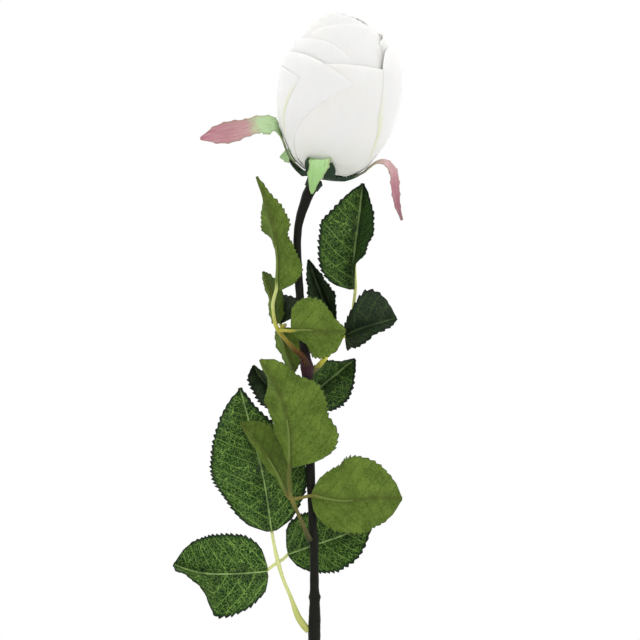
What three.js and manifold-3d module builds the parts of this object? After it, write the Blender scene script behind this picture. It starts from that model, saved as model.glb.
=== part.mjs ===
// A white artificial rose standing in a plain bud vase, in millimetres, +Z up.
// The origin is the centre of the vase's flat foot. The rose is seen along +Y, so
// "front" is -Y and "right" is +X. Everything of the rose hangs in one group, which
// stands a little behind the vase's axis, where the stem leans on the neck.
import * as THREE from 'three';
import { mergeVertices } from 'three/addons/utils/BufferGeometryUtils.js';
import Module from 'manifold-3d';

const wasm = await Module();
wasm.setup();

// ---- driving dimensions -------------------------------------------------------------
const GAP = 0.3;                 // clearance between pieces that touch
const VASE = {
  height: 162, foot: 27, belly: 34.5, bellyHeight: 44, neck: 11.2, neckHeight: 136,
  lip: 15.2, wall: 3, floor: 6, sides: 24,
};
const ROSE_BACK = 8.6;            // the rose's own y = 0 lies this far behind the vase's axis
const LEAF_THICK = 0.7;
const TOOTH = 1.1;               // how far a leaf's saw teeth stand out
const MIDRIB = 0.75;             // radius of the moulded rib under a leaf, at the leaf's base
const MIDRIB_REACH = 0.42;       // share of the leaf that the moulded rib runs under
const BASE_ROUND = 0.05;         // shares of a leaf's length over which its ends are rounded
const TIP_ROUND = 0.05;
const BUD = { base: [6.5, 0, 388], tiltDeg: 8, sideways: -3.5 };
const PETAL_THICK = 1.1;         // a free lip; CLOTH is the cloth that it is made of
const CLOTH = 0.4;
const CALYX_THICK = 1.0;
const SEPAL_THICK = 0.9;

// The stem's middle line: [x, y, z, radius]. It swells where a leaf stalk sits.
const STEM = [
  [-1.0, -12.4, VASE.floor + GAP + 0.15, 2.3], [-0.6, -8.3, 66, 2.3], [0.0, -4.15, 125, 2.3],
  [0.2, -2.8, 145, 2.3], [0.4, -1.2, 168, 2.5], [0.55, 0, 182, 2.8], [0.7, 0, 190, 2.7], [0.75, 0, 197, 2.35],
  [0.75, 0, 199.5, 2.7], [0.65, 0, 203, 2.15], [0.5, 0, 221, 1.9], [0.3, 0, 224.5, 2.4],
  [0.1, 0, 229, 1.95], [-0.5, 0, 240, 1.8], [-1.2, 0, 258, 2.1], [-1.9, 0, 276, 2.4],
  [-2.4, 0, 297, 2.45], [-2.8, 0, 303, 2.95], [-3.4, 0, 308, 2.3], [-5.2, 0, 327, 2.0],
  [-6.4, 0, 342, 1.85], [-7.1, 0, 357, 1.8], [-6.6, 0, 366, 1.85], [-4.6, 0, 374, 2.2],
  [-2.6, 0, 379.5, 2.5], [-0.7, 0, 383.6, 2.7],
];

// Leaflets. rib: points of the midrib from base to tip. left, right: half widths in equal
// steps from base to tip, as seen walking to the tip. tiltL, tiltR: how far each half turns
// towards the front, in degrees, in equal steps. upper: whether the dark upper face looks to
// the front. teeth: saw teeth on each side.
const LEAVES = {
  leaf_low_end: {
    rib: [[-18.6, 10, 228], [-22.4, 16, 251.5], [-27.5, 18, 271.5], [-33.2, 14, 293.7]],
    left: [6, 15, 19.2, 22.4, 22.6, 20.2, 16.3, 10.2, 0.8],
    right: [6, 14, 19, 20.5, 19, 14.5, 9.5, 4.2, 0.8],
    tiltL: [15, 10, 8, 8], tiltR: [10, 5, 8, 15],
    upper: true, teeth: 10,
  },
  leaf_low_left: {
    rib: [[-20.2, 6, 210.6], [-35, 2, 209.6], [-50, 0, 210.1], [-63.2, 2, 213.8]],
    left: [7, 12.3, 16.2, 18.8, 19.4, 17.5, 14, 8.5, 1.2],
    right: [7, 14.5, 17.4, 18.4, 18.6, 17.8, 16, 12, 2],
    tiltL: [10, 5, 5, 5, 8, 62, 80, 78, 60], tiltR: [0, 10, 10],
    upper: true, teeth: 10,
  },
  leaf_low_right: {
    rib: [[-11.5, 12, 217.8], [1, 17, 222], [14, 18, 226.5], [27.5, 17, 233.5]],
    left: [9, 14, 15.5, 15.8, 15.2, 13.8, 11.5, 7.5, 1],
    right: [4, 9.7, 12.4, 14.4, 15, 13.8, 11.2, 6.4, 0.8],
    tiltL: [10, 15, 20], tiltR: [10, 15, 20],
    upper: true, teeth: 9,
  },
  leaf_mid_end: {
    rib: [[-9.8, -8, 257.5], [-10.5, -12, 274], [-14.5, -14, 291], [-24, -10, 306.5]],
    left: [4, 10, 15, 17, 17.5, 16.5, 13.5, 7.5, 1.5],
    right: [5, 17.5, 21.5, 21, 20.5, 18, 14, 9, 2.5],
    tiltL: [-68, -67, -65, -64, -63, -62, -58, -75, -70],
    tiltR: [5, 0, -5, -28, -22, -15, -40, -25, -10],
    upper: false, teeth: 10,
  },
  leaf_mid_left: {
    rib: [[-11.3, -4, 245], [-17.5, -2, 258], [-25, 0, 268.5], [-33, 1, 278]],
    left: [3, 6, 8.5, 9.8, 10, 9.4, 7.6, 4.6, 0.8],
    right: [4, 8, 11, 13, 14, 14, 12.4, 8.5, 1.5],
    tiltL: [-80, -76, -72, -70, -70, -70, -72, -74, -72], tiltR: [-60, -45, -40],
    upper: false, teeth: 7,
  },
  leaf_mid_right: {
    rib: [[-1, -5, 245.5], [13, -9, 243.2], [27, -8, 244.5], [40.3, -2, 243.6]],
    left: [5.5, 12.5, 16.6, 18.8, 19.6, 18.4, 15, 9.6, 2.5],
    right: [4.5, 11, 15.2, 16.8, 17.4, 17, 15.2, 11, 2.5],
    tiltL: [-10, -10, -15], tiltR: [-15, -25, -15],
    upper: false, teeth: 9,
  },
  leaf_high_end: {
    rib: [[-15.5, -8, 337], [-15.8, -14, 352], [-18.5, -16, 369], [-25.5, -12, 388.5]],
    left: [4, 9, 12, 13, 13, 11.5, 8, 4, 0.8],
    right: [4.5, 10.5, 13, 13.3, 13, 11, 8, 4.5, 0.8],
    tiltL: [-88, -87, -86, -85, -80, -62, -60, -84, -80],
    tiltR: [-20, -15, -42, -58, -63, -45, -42, -50, -40],
    upper: false, teeth: 9,
  },
  leaf_high_right: {
    rib: [[-10, -7, 319.5], [-3, -11, 319.8], [6, -12, 319], [14.8, -8, 319.2]],
    left: [7, 11.8, 14, 14.8, 14, 12.3, 10, 4.5, 2],
    right: [3, 6, 9.8, 12.6, 13.8, 14.2, 13, 9.8, 2.6],
    tiltL: [0, -10, -10], tiltR: [-35, -30, -20],
    upper: false, teeth: 7,
  },
  leaf_high_left: {
    rib: [[-17.2, 4, 322], [-17.5, 5, 329], [-19.3, 5, 337], [-22.6, 2, 345.8]],
    left: [2.5, 5.5, 7.5, 8.5, 8.6, 8, 6.2, 3.8, 0.6],
    right: [3, 6, 8, 9.5, 10, 9.5, 8, 5, 0.8],
    tiltL: [-70, -76, -74], tiltR: [-65, -60, -60],
    upper: false, teeth: 6,
  },
  leaf_high_back: {
    rib: [[-14.5, 13, 322.4], [-14.3, 17, 326.8], [-14.5, 21, 331.3], [-15.3, 25, 335.8]],
    left: [2.5, 5, 6.4, 7, 7, 6.4, 5.2, 3.2, 0.6],
    right: [4, 8, 10.5, 11, 10, 7.8, 5, 2.6, 0.6],
    tiltL: [45, 55, 55], tiltR: [35, 35, 35],
    upper: true, teeth: 6,
  },
  leaf_high_low: {
    rib: [[-14.8, 4, 320], [-13.2, 6, 314], [-11, 6, 308], [-8.3, 4, 300.5]],
    left: [3, 6, 8, 9, 9, 8.2, 6.5, 4, 0.8],
    right: [3.5, 7, 9.2, 10, 10, 9.4, 7.6, 4.6, 0.8],
    tiltL: [-34, -30, -45], tiltR: [-70, -70, -66],
    upper: false, teeth: 6,
  },
  leaf_back_end: {
    rib: [[18.3, 10, 337.5], [18.4, 10, 353], [20.4, 8, 369], [22.6, 5, 386]],
    left: [5, 12.7, 15.8, 16.7, 16.9, 17, 12.9, 7.5, 1],
    right: [4, 9, 12, 13.5, 14, 13.5, 11, 6.5, 1],
    tiltL: [10, 12, 15, 25], tiltR: [88, 86, 84, 72, 64, 54, 55, 52, 45],
    upper: true, teeth: 10,
  },
  leaf_back_right: {
    rib: [[14.6, 12, 317], [21, 8, 320], [29.5, 6, 322.8], [38, 8, 324.8]],
    left: [1.8, 4.6, 7.2, 10.4, 13.6, 15.7, 14.2, 9.3, 1.5],
    right: [9, 9.5, 10.5, 10.8, 9.6, 8, 6.4, 4, 0.8],
    tiltL: [35, 20, 10, 5, 0], tiltR: [45, 50, 55, 55],
    upper: true, teeth: 7,
  },
  leaf_back_left: {
    rib: [[9, 6, 321], [5, 8, 332], [1.2, 8, 342], [-2.2, 6, 351.5]],
    left: [3, 7, 9.6, 11, 11, 10, 7.6, 4.4, 0.8],
    right: [3, 7, 9.6, 11, 11, 9.8, 7.4, 4.2, 0.8],
    tiltL: [60, 60, 60], tiltR: [55, 62, 66],
    upper: true, teeth: 7,
  },
  leaf_rear_right: {
    rib: [[-3, 16, 287], [4, 19, 294], [12, 21, 300.5], [19.2, 19, 306.5]],
    left: [6, 11, 13, 14, 14, 12.5, 9.5, 5, 1],
    right: [6, 11, 12.6, 13.2, 12.6, 10.8, 8.2, 5, 1],
    tiltL: [50, 53, 60], tiltR: [15, 15, 20],
    upper: true, teeth: 7,
  },
  leaf_rear_left: {
    rib: [[-12, 18, 287], [-18, 24, 292], [-23.5, 27, 297.5], [-27.3, 27, 303.5]],
    left: [5, 8, 9.2, 8.8, 8, 7.4, 6.8, 4.8, 0.8],
    right: [4, 8, 10.6, 12, 12, 10.8, 8.4, 5, 0.8],
    tiltL: [15, 25, 30], tiltR: [72, 72, 72],
    upper: true, teeth: 6,
  },
  leaf_rear_end: {
    rib: [[-7.4, 23, 283], [-8.5, 33, 286], [-10, 43, 286], [-11, 53, 282]],
    left: [5, 10.5, 13.5, 15, 15, 13.8, 11, 7, 0.8],
    right: [5, 10.5, 13.5, 15, 15, 13.8, 11, 7, 0.8],
    tiltL: [20, 20, 20], tiltR: [20, 20, 20],
    upper: true, teeth: 8, facing: [0, 0, 1],
  },
};

// Leaf stalks: each is one moulded piece. runs: the way to each leaf, through points
// [x, y, z, radius], which goes on as the moulded rib under that leaf.
const STALKS = {
  stalk_low: {
    colour: 0xc9cf86,
    runs: {
      leaf_low_end: [[-1.9, 0.6, 184, 1.5], [-4.5, 1, 187, 1.6], [-7, 2, 191, 1.45],
        [-10, 3, 199, 0.9], [-13.4, 5, 207, 0.8], [-15.8, 6.4, 214.7, 1.0],
        [-17.5, 9, 222, 0.75]],
      leaf_low_left: [[-15.8, 6.4, 214.7, 0.9], [-18, 7, 213.2, 0.75]],
      leaf_low_right: [[-15.8, 6.4, 214.7, 0.9], [-13.6, 10, 215.8, 0.75]],
    },
  },
  stalk_mid: {
    colour: 0xb4bd76,
    runs: {
      leaf_mid_end: [[-1.2, -2.2, 224.8, 1.3], [-4, -4.6, 231, 0.95], [-7, -6.3, 238, 0.85],
        [-9.5, -7, 243.5, 1.0], [-10.5, -8, 248, 0.85], [-10.9, -9, 253.6, 0.8]],
      leaf_mid_left: [[-9.5, -7, 243.5, 0.9], [-10.6, -6.2, 244.2, 0.75]],
      leaf_mid_right: [[-9.5, -7, 243.5, 0.9], [-5, -7.4, 244.4, 0.75]],
    },
  },
  stalk_high: {
    colour: 0xb98a3e,
    runs: {
      leaf_high_end: [[-2.6, -2.4, 303.2, 1.5], [-5, -3.6, 308, 1.5], [-9, -4, 311.5, 1.2],
        [-13, -3, 316, 0.95], [-16, -1.6, 320, 1.0], [-17.5, -2, 325, 0.75],
        [-18, -5, 331, 0.75], [-17, -8.4, 335.6, 0.75]],
      leaf_high_right: [[-15.5, -1.8, 319, 0.9], [-12.5, -6, 319.3, 0.8]],
      leaf_high_left: [[-16.3, -1.6, 321, 0.9], [-17, 1, 321.6, 0.75]],
      leaf_high_low: [[-14.6, -2.2, 318.2, 0.9], [-14.8, 0.8, 319.8, 0.8]],
      leaf_high_back: [[-15.2, -1.9, 319, 0.9], [-13.2, 0.5, 321.4, 0.8],
        [-12.5, 6, 321.8, 0.75], [-13.3, 12, 320.8, 0.75]],
    },
  },
  stalk_back: {
    colour: 0xc3c93f,
    runs: {
      leaf_back_end: [[-1.4, 1.8, 300, 1.4], [2.5, 3.4, 303.2, 1.3], [7, 6, 309, 1.0],
        [11, 11, 315, 1.0], [17, 15.6, 322, 0.8], [18.4, 14.6, 331, 0.75]],
      leaf_back_right: [[11, 11, 315, 0.9], [12.6, 13.6, 315.8, 0.8]],
      leaf_back_left: [[11, 11, 315, 0.9], [10, 9.4, 318.4, 0.8]],
    },
  },
  stalk_rear: {
    colour: 0x8f9a5a,
    runs: {
      leaf_rear_end: [[-2.2, 2.2, 272, 1.4], [-4, 8, 277, 1.1], [-6.2, 14.5, 281.5, 1.0],
        [-7.2, 19.6, 281.8, 0.75]],
      leaf_rear_right: [[-6.2, 14.5, 281.5, 0.9], [-4.4, 15.6, 284.6, 0.8]],
      leaf_rear_left: [[-6.2, 14.5, 281.5, 0.9], [-9.4, 17, 284.4, 0.8]],
    },
  },
};

// The bud's profiles: [height along its axis, radius]. The core is what shows as the dome
// of tightly wrapped petals; the skin is what the outer petals follow.
const CORE = [
  [0.4, 0], [1.2, 7], [4.5, 12.5], [9, 17], [16, 20.8], [25, 23.6], [35, 25], [44, 25.2],
  [52, 24], [59, 21.2], [65, 17.2], [69.5, 13], [72.6, 9], [74.2, 6.2], [75, 0],
];
const SKIN = [
  [0.3, 0], [0.8, 6], [1.4, 8.5], [3.9, 13.1], [7.5, 17.2], [14.7, 21.7], [19.6, 24.2],
  [25, 26.1], [33, 27.5], [38, 27.8], [44, 27.5], [52, 26], [60, 22.8], [66, 18.4],
  [71, 12.4], [75, 6],
];
// Petals, inner ones first. at: direction of the middle, 0 to the front, 90 to the right.
// span: half the angle that it covers; low: the share of that at the base; grow and full:
// how late it widens. rim: height of its upper edge; drop: how much that falls to the
// corners, and fall how late; slope: how much it rises to the right. on: the profile that
// it follows, out: how far it stands off it. flare: how far its lip leans outwards.
const PETALS = [
  { at: 42, span: 92, low: 0.6, grow: 0.8, full: 0.8, rim: 69.6, drop: 6, fall: 2.6,
    slope: 0, on: CORE, out: -0.2, flare: 0 },
  { at: -82, span: 93, low: 0.4, grow: 1, full: 0.8, rim: 60.5, drop: 9.5, fall: 5,
    slope: 0, on: CORE, out: 0.35, flare: 0.2 },
  { at: 122, span: 66, low: 0.5, grow: 0.8, full: 0.8, rim: 68.4, drop: 5, fall: 2.6,
    slope: 0, on: CORE, out: 0.2, flare: 1.8 },
  { at: -165, span: 62, low: 0.5, grow: 0.8, full: 0.8, rim: 58, drop: 8, fall: 2.6,
    slope: 0, on: SKIN, out: -1.35, flare: 0.8 },
  { at: 15, span: 86, low: 0.86, grow: 0.8, full: 0.8, rim: 50.3, drop: 8, fall: 3.4,
    slope: 2.6, on: SKIN, out: -0.8, flare: 0 },
  { at: -72, span: 84, low: 0.05, grow: 1.5, full: 1, rim: 53.5, drop: 12, fall: 2.6,
    slope: 0, on: SKIN, out: -0.35, flare: 0.1 },
  { at: 118, span: 73, low: 0.62, grow: 0.8, full: 0.55, rim: 60, drop: 9.5, fall: 12,
    slope: -2.2, on: SKIN, out: -0.35, flare: 2.9 },
  { at: -128, span: 85, low: 0.57, grow: 1.4, full: 0.95, rim: 47.8, drop: 5.5, fall: 3,
    slope: 0, on: SKIN, out: 0.05, flare: 0.1 },
];

// The calyx is a shallow cup under the bud. Its rim, this high along the bud's axis, rises
// in a lobe at each sepal: [direction, further height, half width in degrees].
const CUP_RIM = 1.6;
const CUP_TOP = 6;
const LOBES = [
  [-31, 6.8, 14], [-50, 2.6, 22], [-14, 4.8, 20], [4, 5.2, 14], [-88, 5.5, 20],
  [82, 4.5, 20], [150, 5.5, 20], [-150, 5.5, 20],
];
const FLAP = [-60, 30, 3];       // where the rim bends out: direction, half width, how far

// Sepals: each grows out of the cup, then runs free. root: heights along the cup; free: the
// points after that; half: half widths from root to tip; looks: which way its outer face
// looks, in equal steps from root to tip.
const SEPALS = [
  { at: -15, root: [2.5, 4.5, 6], half: [4.2, 4.5, 4.7, 4.6, 4.2, 2.7, 0.4],
    free: [[3.4, -18.9, 395.3], [2.5, -19.7, 392.4], [0.5, -19.3, 386.8], [-0.5, -18.6, 380.2]],
    looks: [[-0.1, -1, -0.6], [-0.1, -1, -0.5], [-0.1, -1, -0.6], [0, -0.1, -1],
      [0, 1, -0.3], [0, 1, 0], [0, 1, 0]] },
  { at: -86, root: [3, 6.5, 11, 14.5], half: [3, 2.8, 2.6, 2.4, 2.8, 4.4, 3.9, 3.8, 4.7, 3.8, 0.4],
    free: [[-16.3, -2.6, 409.8], [-19, -2.4, 411.2], [-24, -1.4, 411.9], [-30, -1.1, 410.4],
      [-36.5, -0.8, 408.8], [-43.5, -0.4, 407.3], [-50.8, 0, 405.6]],
    looks: [[-1, 0, -0.6], [-1, 0, -0.4], [-1, 0, -0.2], [-1, 0, -0.2], [-1, 0.4, -0.2],
      [0, 1, -0.3], [0, 1, -0.2], [0, 1, 0], [0, 1, 0.1], [0, 1, 0], [0, 1, 0]] },
  { at: 82, root: [3, 5.5, 8], half: [3, 2, 1.4, 1.4, 1.6, 1.8, 1.8, 1.3, 0.4],
    free: [[29.2, -3, 395], [33.2, -3.2, 394.4], [36.3, -3, 390], [37, -3, 383],
      [37.9, -2.6, 376], [40, -2, 368.8]],
    looks: [[0.6, 0, -0.8], [0.5, 0.1, -0.8], [0.4, 0.2, -0.8], [0, 0.5, -0.8],
      [-0.3, 0.8, -0.5], [-0.2, 1, 0], [0, 1, 0], [0, 1, 0], [0, 1, 0]] },
  { at: 150, root: [3, 7, 13], half: [3.6, 3.8, 4, 4, 3, 0.4],
    free: [[22.6, 25.6, 408], [25.4, 29.5, 412.4], [29, 34, 413]],
    looks: [[0.5, 0.87, -0.6], [0.5, 0.87, -0.4], [0.5, 0.87, -0.2], [0.5, 0.87, -0.3],
      [0.4, 0.7, -0.8], [0.2, 0.4, -1]] },
  { at: -150, root: [3, 7, 10], half: [3.6, 3.8, 4, 3.8, 4, 0.4],
    free: [[-6.2, 21.6, 399], [-10.2, 25.4, 399], [-15.2, 28.4, 398.4]],
    looks: [[-0.5, 0.87, -0.6], [-0.5, 0.87, -0.4], [-0.5, 0.87, -0.2], [-0.5, 0.87, -0.2],
      [-0.2, 1, -0.4], [0, 1, -0.2]] },
];

const COLOUR = {
  vase: 0xe9e5db, stem: 0x1f1c1c, upper: 0x2c5a2b, under: 0x6f8f41, petal: 0xf0efea,
  calyx: 0x9fc486,
};

// ---- curves and solids --------------------------------------------------------------
const clamp = (x, low, high) => Math.min(Math.max(x, low), high);
const radians = (degrees) => degrees * Math.PI / 180;

// A smooth curve through equally spaced values, for u from 0 to 1.
function smooth(values, u) {
  const last = values.length - 1;
  const x = u * last;
  const i = clamp(Math.floor(x), 0, last - 1);
  const f = x - i;
  const b = values[i];
  const c = values[i + 1];
  const a = i > 0 ? values[i - 1] : 2 * b - c;
  const d = i + 2 <= last ? values[i + 2] : 2 * c - b;
  return b + 0.5 * f * (c - a + f * (2 * a - 5 * b + 4 * c - d + f * (3 * (b - c) + d - a)));
}

function pointOn(points, u) {
  const at = (k) => smooth(points.map((point) => point[k]), u);
  return new THREE.Vector3(at(0), at(1), at(2));
}

function tangentOn(points, u) {
  const step = 0.004;
  return pointOn(points, u + step).sub(pointOn(points, u - step)).normalize();
}

// A value from a list of [place, value] pairs in rising places, straight between them.
function along(pairs, place) {
  if (place <= pairs[0][0]) return pairs[0][1];
  for (let i = 1; i < pairs.length; i += 1) {
    const [x0, y0] = pairs[i - 1];
    const [x1, y1] = pairs[i];
    if (place <= x1) return y0 + (y1 - y0) * (place - x0) / (x1 - x0);
  }
  return pairs[pairs.length - 1][1];
}

// A closed mesh from rows of points: two equal grids, one for each face, and the rim
// between them. Both faces are split along the same diagonals.
function slab(front, back) {
  const rows = front.length;
  const columns = front[0].length;
  const points = [...front.flat(), ...back.flat()];
  const half = rows * columns;
  const faces = [];
  const id = (r, c) => r * columns + c;
  for (let r = 0; r < rows - 1; r += 1) {
    for (let c = 0; c < columns - 1; c += 1) {
      const [a, b, d, e] = [id(r, c), id(r, c + 1), id(r + 1, c + 1), id(r + 1, c)];
      const pairs = (2 * c < columns - 1) ? [[a, b, d], [a, d, e]] : [[a, b, e], [b, d, e]];
      pairs.forEach(([p, q, s]) => {
        faces.push(p, q, s);
        faces.push(half + p, half + s, half + q);
      });
    }
  }
  const rim = [];
  for (let c = 0; c < columns - 1; c += 1) rim.push(id(0, c));
  for (let r = 0; r < rows - 1; r += 1) rim.push(id(r, columns - 1));
  for (let c = columns - 1; c > 0; c -= 1) rim.push(id(rows - 1, c));
  for (let r = rows - 1; r > 0; r -= 1) rim.push(id(r, 0));
  rim.forEach((p, i) => {
    const q = rim[(i + 1) % rim.length];
    faces.push(p, half + p, q, q, half + p, half + q);
  });
  return closed(points, faces);
}

// A geometry from points and faces, turned so that its faces look out.
function closed(points, faces) {
  let volume = 0;
  for (let i = 0; i < faces.length; i += 3) {
    const [a, b, c] = [points[faces[i]], points[faces[i + 1]], points[faces[i + 2]]];
    volume += a.dot(new THREE.Vector3().crossVectors(b, c));
  }
  const index = volume > 0 ? faces : faces.map((_, i) => faces[i - (i % 3) + 2 - (i % 3)]);
  const geometry = new THREE.BufferGeometry();
  const numbers = points.flatMap((point) => [point.x, point.y, point.z]);
  geometry.setAttribute('position', new THREE.Float32BufferAttribute(numbers, 3));
  geometry.setIndex(index);
  return geometry;
}

// A round rod through points [x, y, z, radius], closed at both ends.
function rod(points, sides, steps) {
  const rings = [];
  let across = null;
  for (let i = 0; i <= steps; i += 1) {
    const u = i / steps;
    const middle = pointOn(points, u);
    const tangent = tangentOn(points, u);
    const radius = smooth(points.map((point) => point[3]), u);
    const seed = across || new THREE.Vector3(Math.abs(tangent.x) < 0.7 ? 1 : 0, 0, 0.3);
    across = seed.clone().addScaledVector(tangent, -seed.dot(tangent)).normalize();
    const other = new THREE.Vector3().crossVectors(tangent, across);
    const ring = [];
    for (let k = 0; k < sides; k += 1) {
      const angle = 2 * Math.PI * k / sides;
      ring.push(middle.clone().addScaledVector(across, radius * Math.cos(angle))
        .addScaledVector(other, radius * Math.sin(angle)));
    }
    rings.push(ring);
  }
  const vertices = rings.flat();
  const faces = [];
  for (let i = 0; i < steps; i += 1) {
    for (let k = 0; k < sides; k += 1) {
      const [a, b] = [i * sides + k, i * sides + (k + 1) % sides];
      faces.push(a, b, b + sides, a, b + sides, a + sides);
    }
  }
  const end = steps * sides;
  for (let k = 1; k < sides - 1; k += 1) {
    faces.push(0, k + 1, k);
    faces.push(end, end + k, end + k + 1);
  }
  return closed(vertices, faces);
}

function toSolid(geometry) {
  const bare = geometry.clone();
  bare.deleteAttribute('normal');
  bare.deleteAttribute('uv');
  const merged = mergeVertices(bare, 1e-4);
  return new wasm.Manifold(new wasm.Mesh({
    numProp: 3,
    vertProperties: new Float32Array(merged.attributes.position.array),
    triVerts: new Uint32Array(merged.index.array),
  }));
}

function toGeometry(solid) {
  const mesh = solid.getMesh();
  const geometry = new THREE.BufferGeometry();
  geometry.setAttribute('position', new THREE.Float32BufferAttribute(mesh.vertProperties, 3));
  geometry.setIndex([...mesh.triVerts]);
  return geometry;
}

function fuse(geometries) {
  return geometries.map(toSolid).reduce((all, next) => all.add(next));
}

// The largest closed outer body of a solid: pockets that fusing sealed are filled.
function solidBody(solid) {
  const parts = solid.decompose().filter((part) => part.volume() > 0);
  return parts.reduce((a, b) => (a.volume() > b.volume() ? a : b));
}

function piece(name, geometry, colour, roughness) {
  const material = new THREE.MeshStandardMaterial({ color: colour, roughness, metalness: 0 });
  const mesh = new THREE.Mesh(geometry, material);
  mesh.name = name;
  return mesh;
}

// ---- leaves -------------------------------------------------------------------------
// A leaf half's width: a smooth curve, rounded off at the base and at the tip.
function leafHalf(widths, u) {
  const ends = Math.min(u / BASE_ROUND, 1) ** 0.5 * Math.min((1 - u) / TIP_ROUND, 1) ** 0.8;
  return Math.max(smooth(widths, u) * ends, 1);
}

function leafFrame(leaf, u) {
  const front = new THREE.Vector3(...(leaf.facing || [0, -1, 0]));
  const along3 = tangentOn(leaf.rib, u);
  const side = new THREE.Vector3().crossVectors(along3, front).normalize();
  const normal = new THREE.Vector3().crossVectors(side, along3).normalize();
  return { middle: pointOn(leaf.rib, u), side, normal };
}

// A point of the leaf at u along the rib and v across, -1 at the left edge and 1 at the
// right, with the direction that its front face looks in.
function leafPoint(leaf, u, v, edge) {
  const { middle, side, normal } = leafFrame(leaf, u);
  const sign = v < 0 ? -1 : 1;
  const turn = radians(smooth(v < 0 ? leaf.tiltL : leaf.tiltR, u));
  const reach = Math.abs(v) * (leafHalf(v < 0 ? leaf.left : leaf.right, u) + edge);
  const out = side.clone().multiplyScalar(sign * Math.cos(turn))
    .addScaledVector(normal, Math.sin(turn));
  const looks = side.clone().multiplyScalar(-sign * Math.sin(turn))
    .addScaledVector(normal, Math.cos(turn));
  return { point: middle.addScaledVector(out, reach), looks };
}

function leafNormal(leaf, u, v) {
  if (v !== 0) return leafPoint(leaf, u, v, 0).looks;
  const left = leafPoint(leaf, u, -1e-3, 0).looks;
  return left.add(leafPoint(leaf, u, 1e-3, 0).looks).normalize();
}

function leafSolid(leaf) {
  const front = [];
  const back = [];
  const steps = 2 * leaf.teeth;
  for (let i = 0; i <= steps; i += 1) {
    const isTooth = i % 2 === 1;
    const place = (i + (isTooth ? 0.45 : 0)) / steps;
    const u = 0.012 + 0.973 * place;
    const edge = isTooth ? TOOTH / 2 : -TOOTH / 2;
    const frontRow = [];
    const backRow = [];
    [-1, -0.5, 0, 0.5, 1].forEach((v) => {
      const ends = i === 0 || i === steps ? 0 : edge * Math.abs(v);
      const { point } = leafPoint(leaf, u, v, ends);
      const looks = leafNormal(leaf, u, v);
      frontRow.push(point.clone().addScaledVector(looks, LEAF_THICK / 2));
      backRow.push(point.clone().addScaledVector(looks, -LEAF_THICK / 2));
    });
    front.push(frontRow);
    back.push(backRow);
  }
  return slab(front, back);
}

// The points of the moulded rib that a leaf is fixed to, along its lower face.
function midribUnder(leaf) {
  const away = leaf.upper ? -1 : 1;
  return [0, 1, 2, 3].map((i) => {
    const u = 0.03 + MIDRIB_REACH * i / 3;
    const radius = MIDRIB * (1 - 0.16 * i);
    const lift = away * (LEAF_THICK / 2 + GAP + radius + 0.08);
    const p = pointOn(leaf.rib, u).addScaledVector(leafNormal(leaf, u, 0), lift);
    return [p.x, p.y, p.z, radius];
  });
}

// ---- stem and stalks ----------------------------------------------------------------
const STEM_SIDES = 9;
const STEM_STEPS = 50;

// The stem, or with room added the space that it needs in what it carries.
function stemRod(room) {
  const points = STEM.map(([x, y, z, radius]) => [x, y, z, radius + room]);
  points[points.length - 1][2] += room;
  return rod(points, STEM_SIDES, STEM_STEPS);
}

const stemRoom = toSolid(stemRod(GAP + 0.1));

function stalkSolid(stalk) {
  const rods = Object.entries(stalk.runs).map(([name, way]) => {
    const points = [...way, ...midribUnder(LEAVES[name])];
    return rod(points, 6, Math.ceil(1.5 * (points.length - 1)));
  });
  return solidBody(fuse(rods).subtract(stemRoom));
}

// ---- bloom and calyx ----------------------------------------------------------------
const tilt = radians(BUD.tiltDeg);
const budUp = new THREE.Vector3(Math.sin(tilt), 0, Math.cos(tilt));
const budRight = new THREE.Vector3(Math.cos(tilt), 0, -Math.sin(tilt));

// A point of the bud: direction in degrees from the front to the right, height along its
// axis, and distance from that axis, which leans back upright near the top.
function budPoint(direction, height, radius) {
  const a = radians(direction);
  const lean = clamp((height - 42) / 32, 0, 1) ** 2 * BUD.sideways;
  const point = new THREE.Vector3(...BUD.base).addScaledVector(budUp, height);
  point.addScaledVector(budRight, lean + radius * Math.sin(a));
  point.y -= radius * Math.cos(a);
  return point;
}

function coreSolid() {
  const sides = 20;
  const points = [];
  const faces = [];
  const rings = CORE.slice(1, -1);
  rings.forEach(([height, radius]) => {
    for (let k = 0; k < sides; k += 1) points.push(budPoint(360 * k / sides, height, radius));
  });
  for (let i = 0; i < rings.length - 1; i += 1) {
    for (let k = 0; k < sides; k += 1) {
      const [a, b] = [i * sides + k, i * sides + (k + 1) % sides];
      faces.push(a, b, b + sides, a, b + sides, a + sides);
    }
  }
  const low = points.push(budPoint(0, CORE[0][0], 0)) - 1;
  const high = points.push(budPoint(0, CORE[CORE.length - 1][0], 0)) - 1;
  const top = (rings.length - 1) * sides;
  for (let k = 0; k < sides; k += 1) {
    faces.push(low, (k + 1) % sides, k);
    faces.push(high, top + k, top + (k + 1) % sides);
  }
  return closed(points, faces);
}

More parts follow.
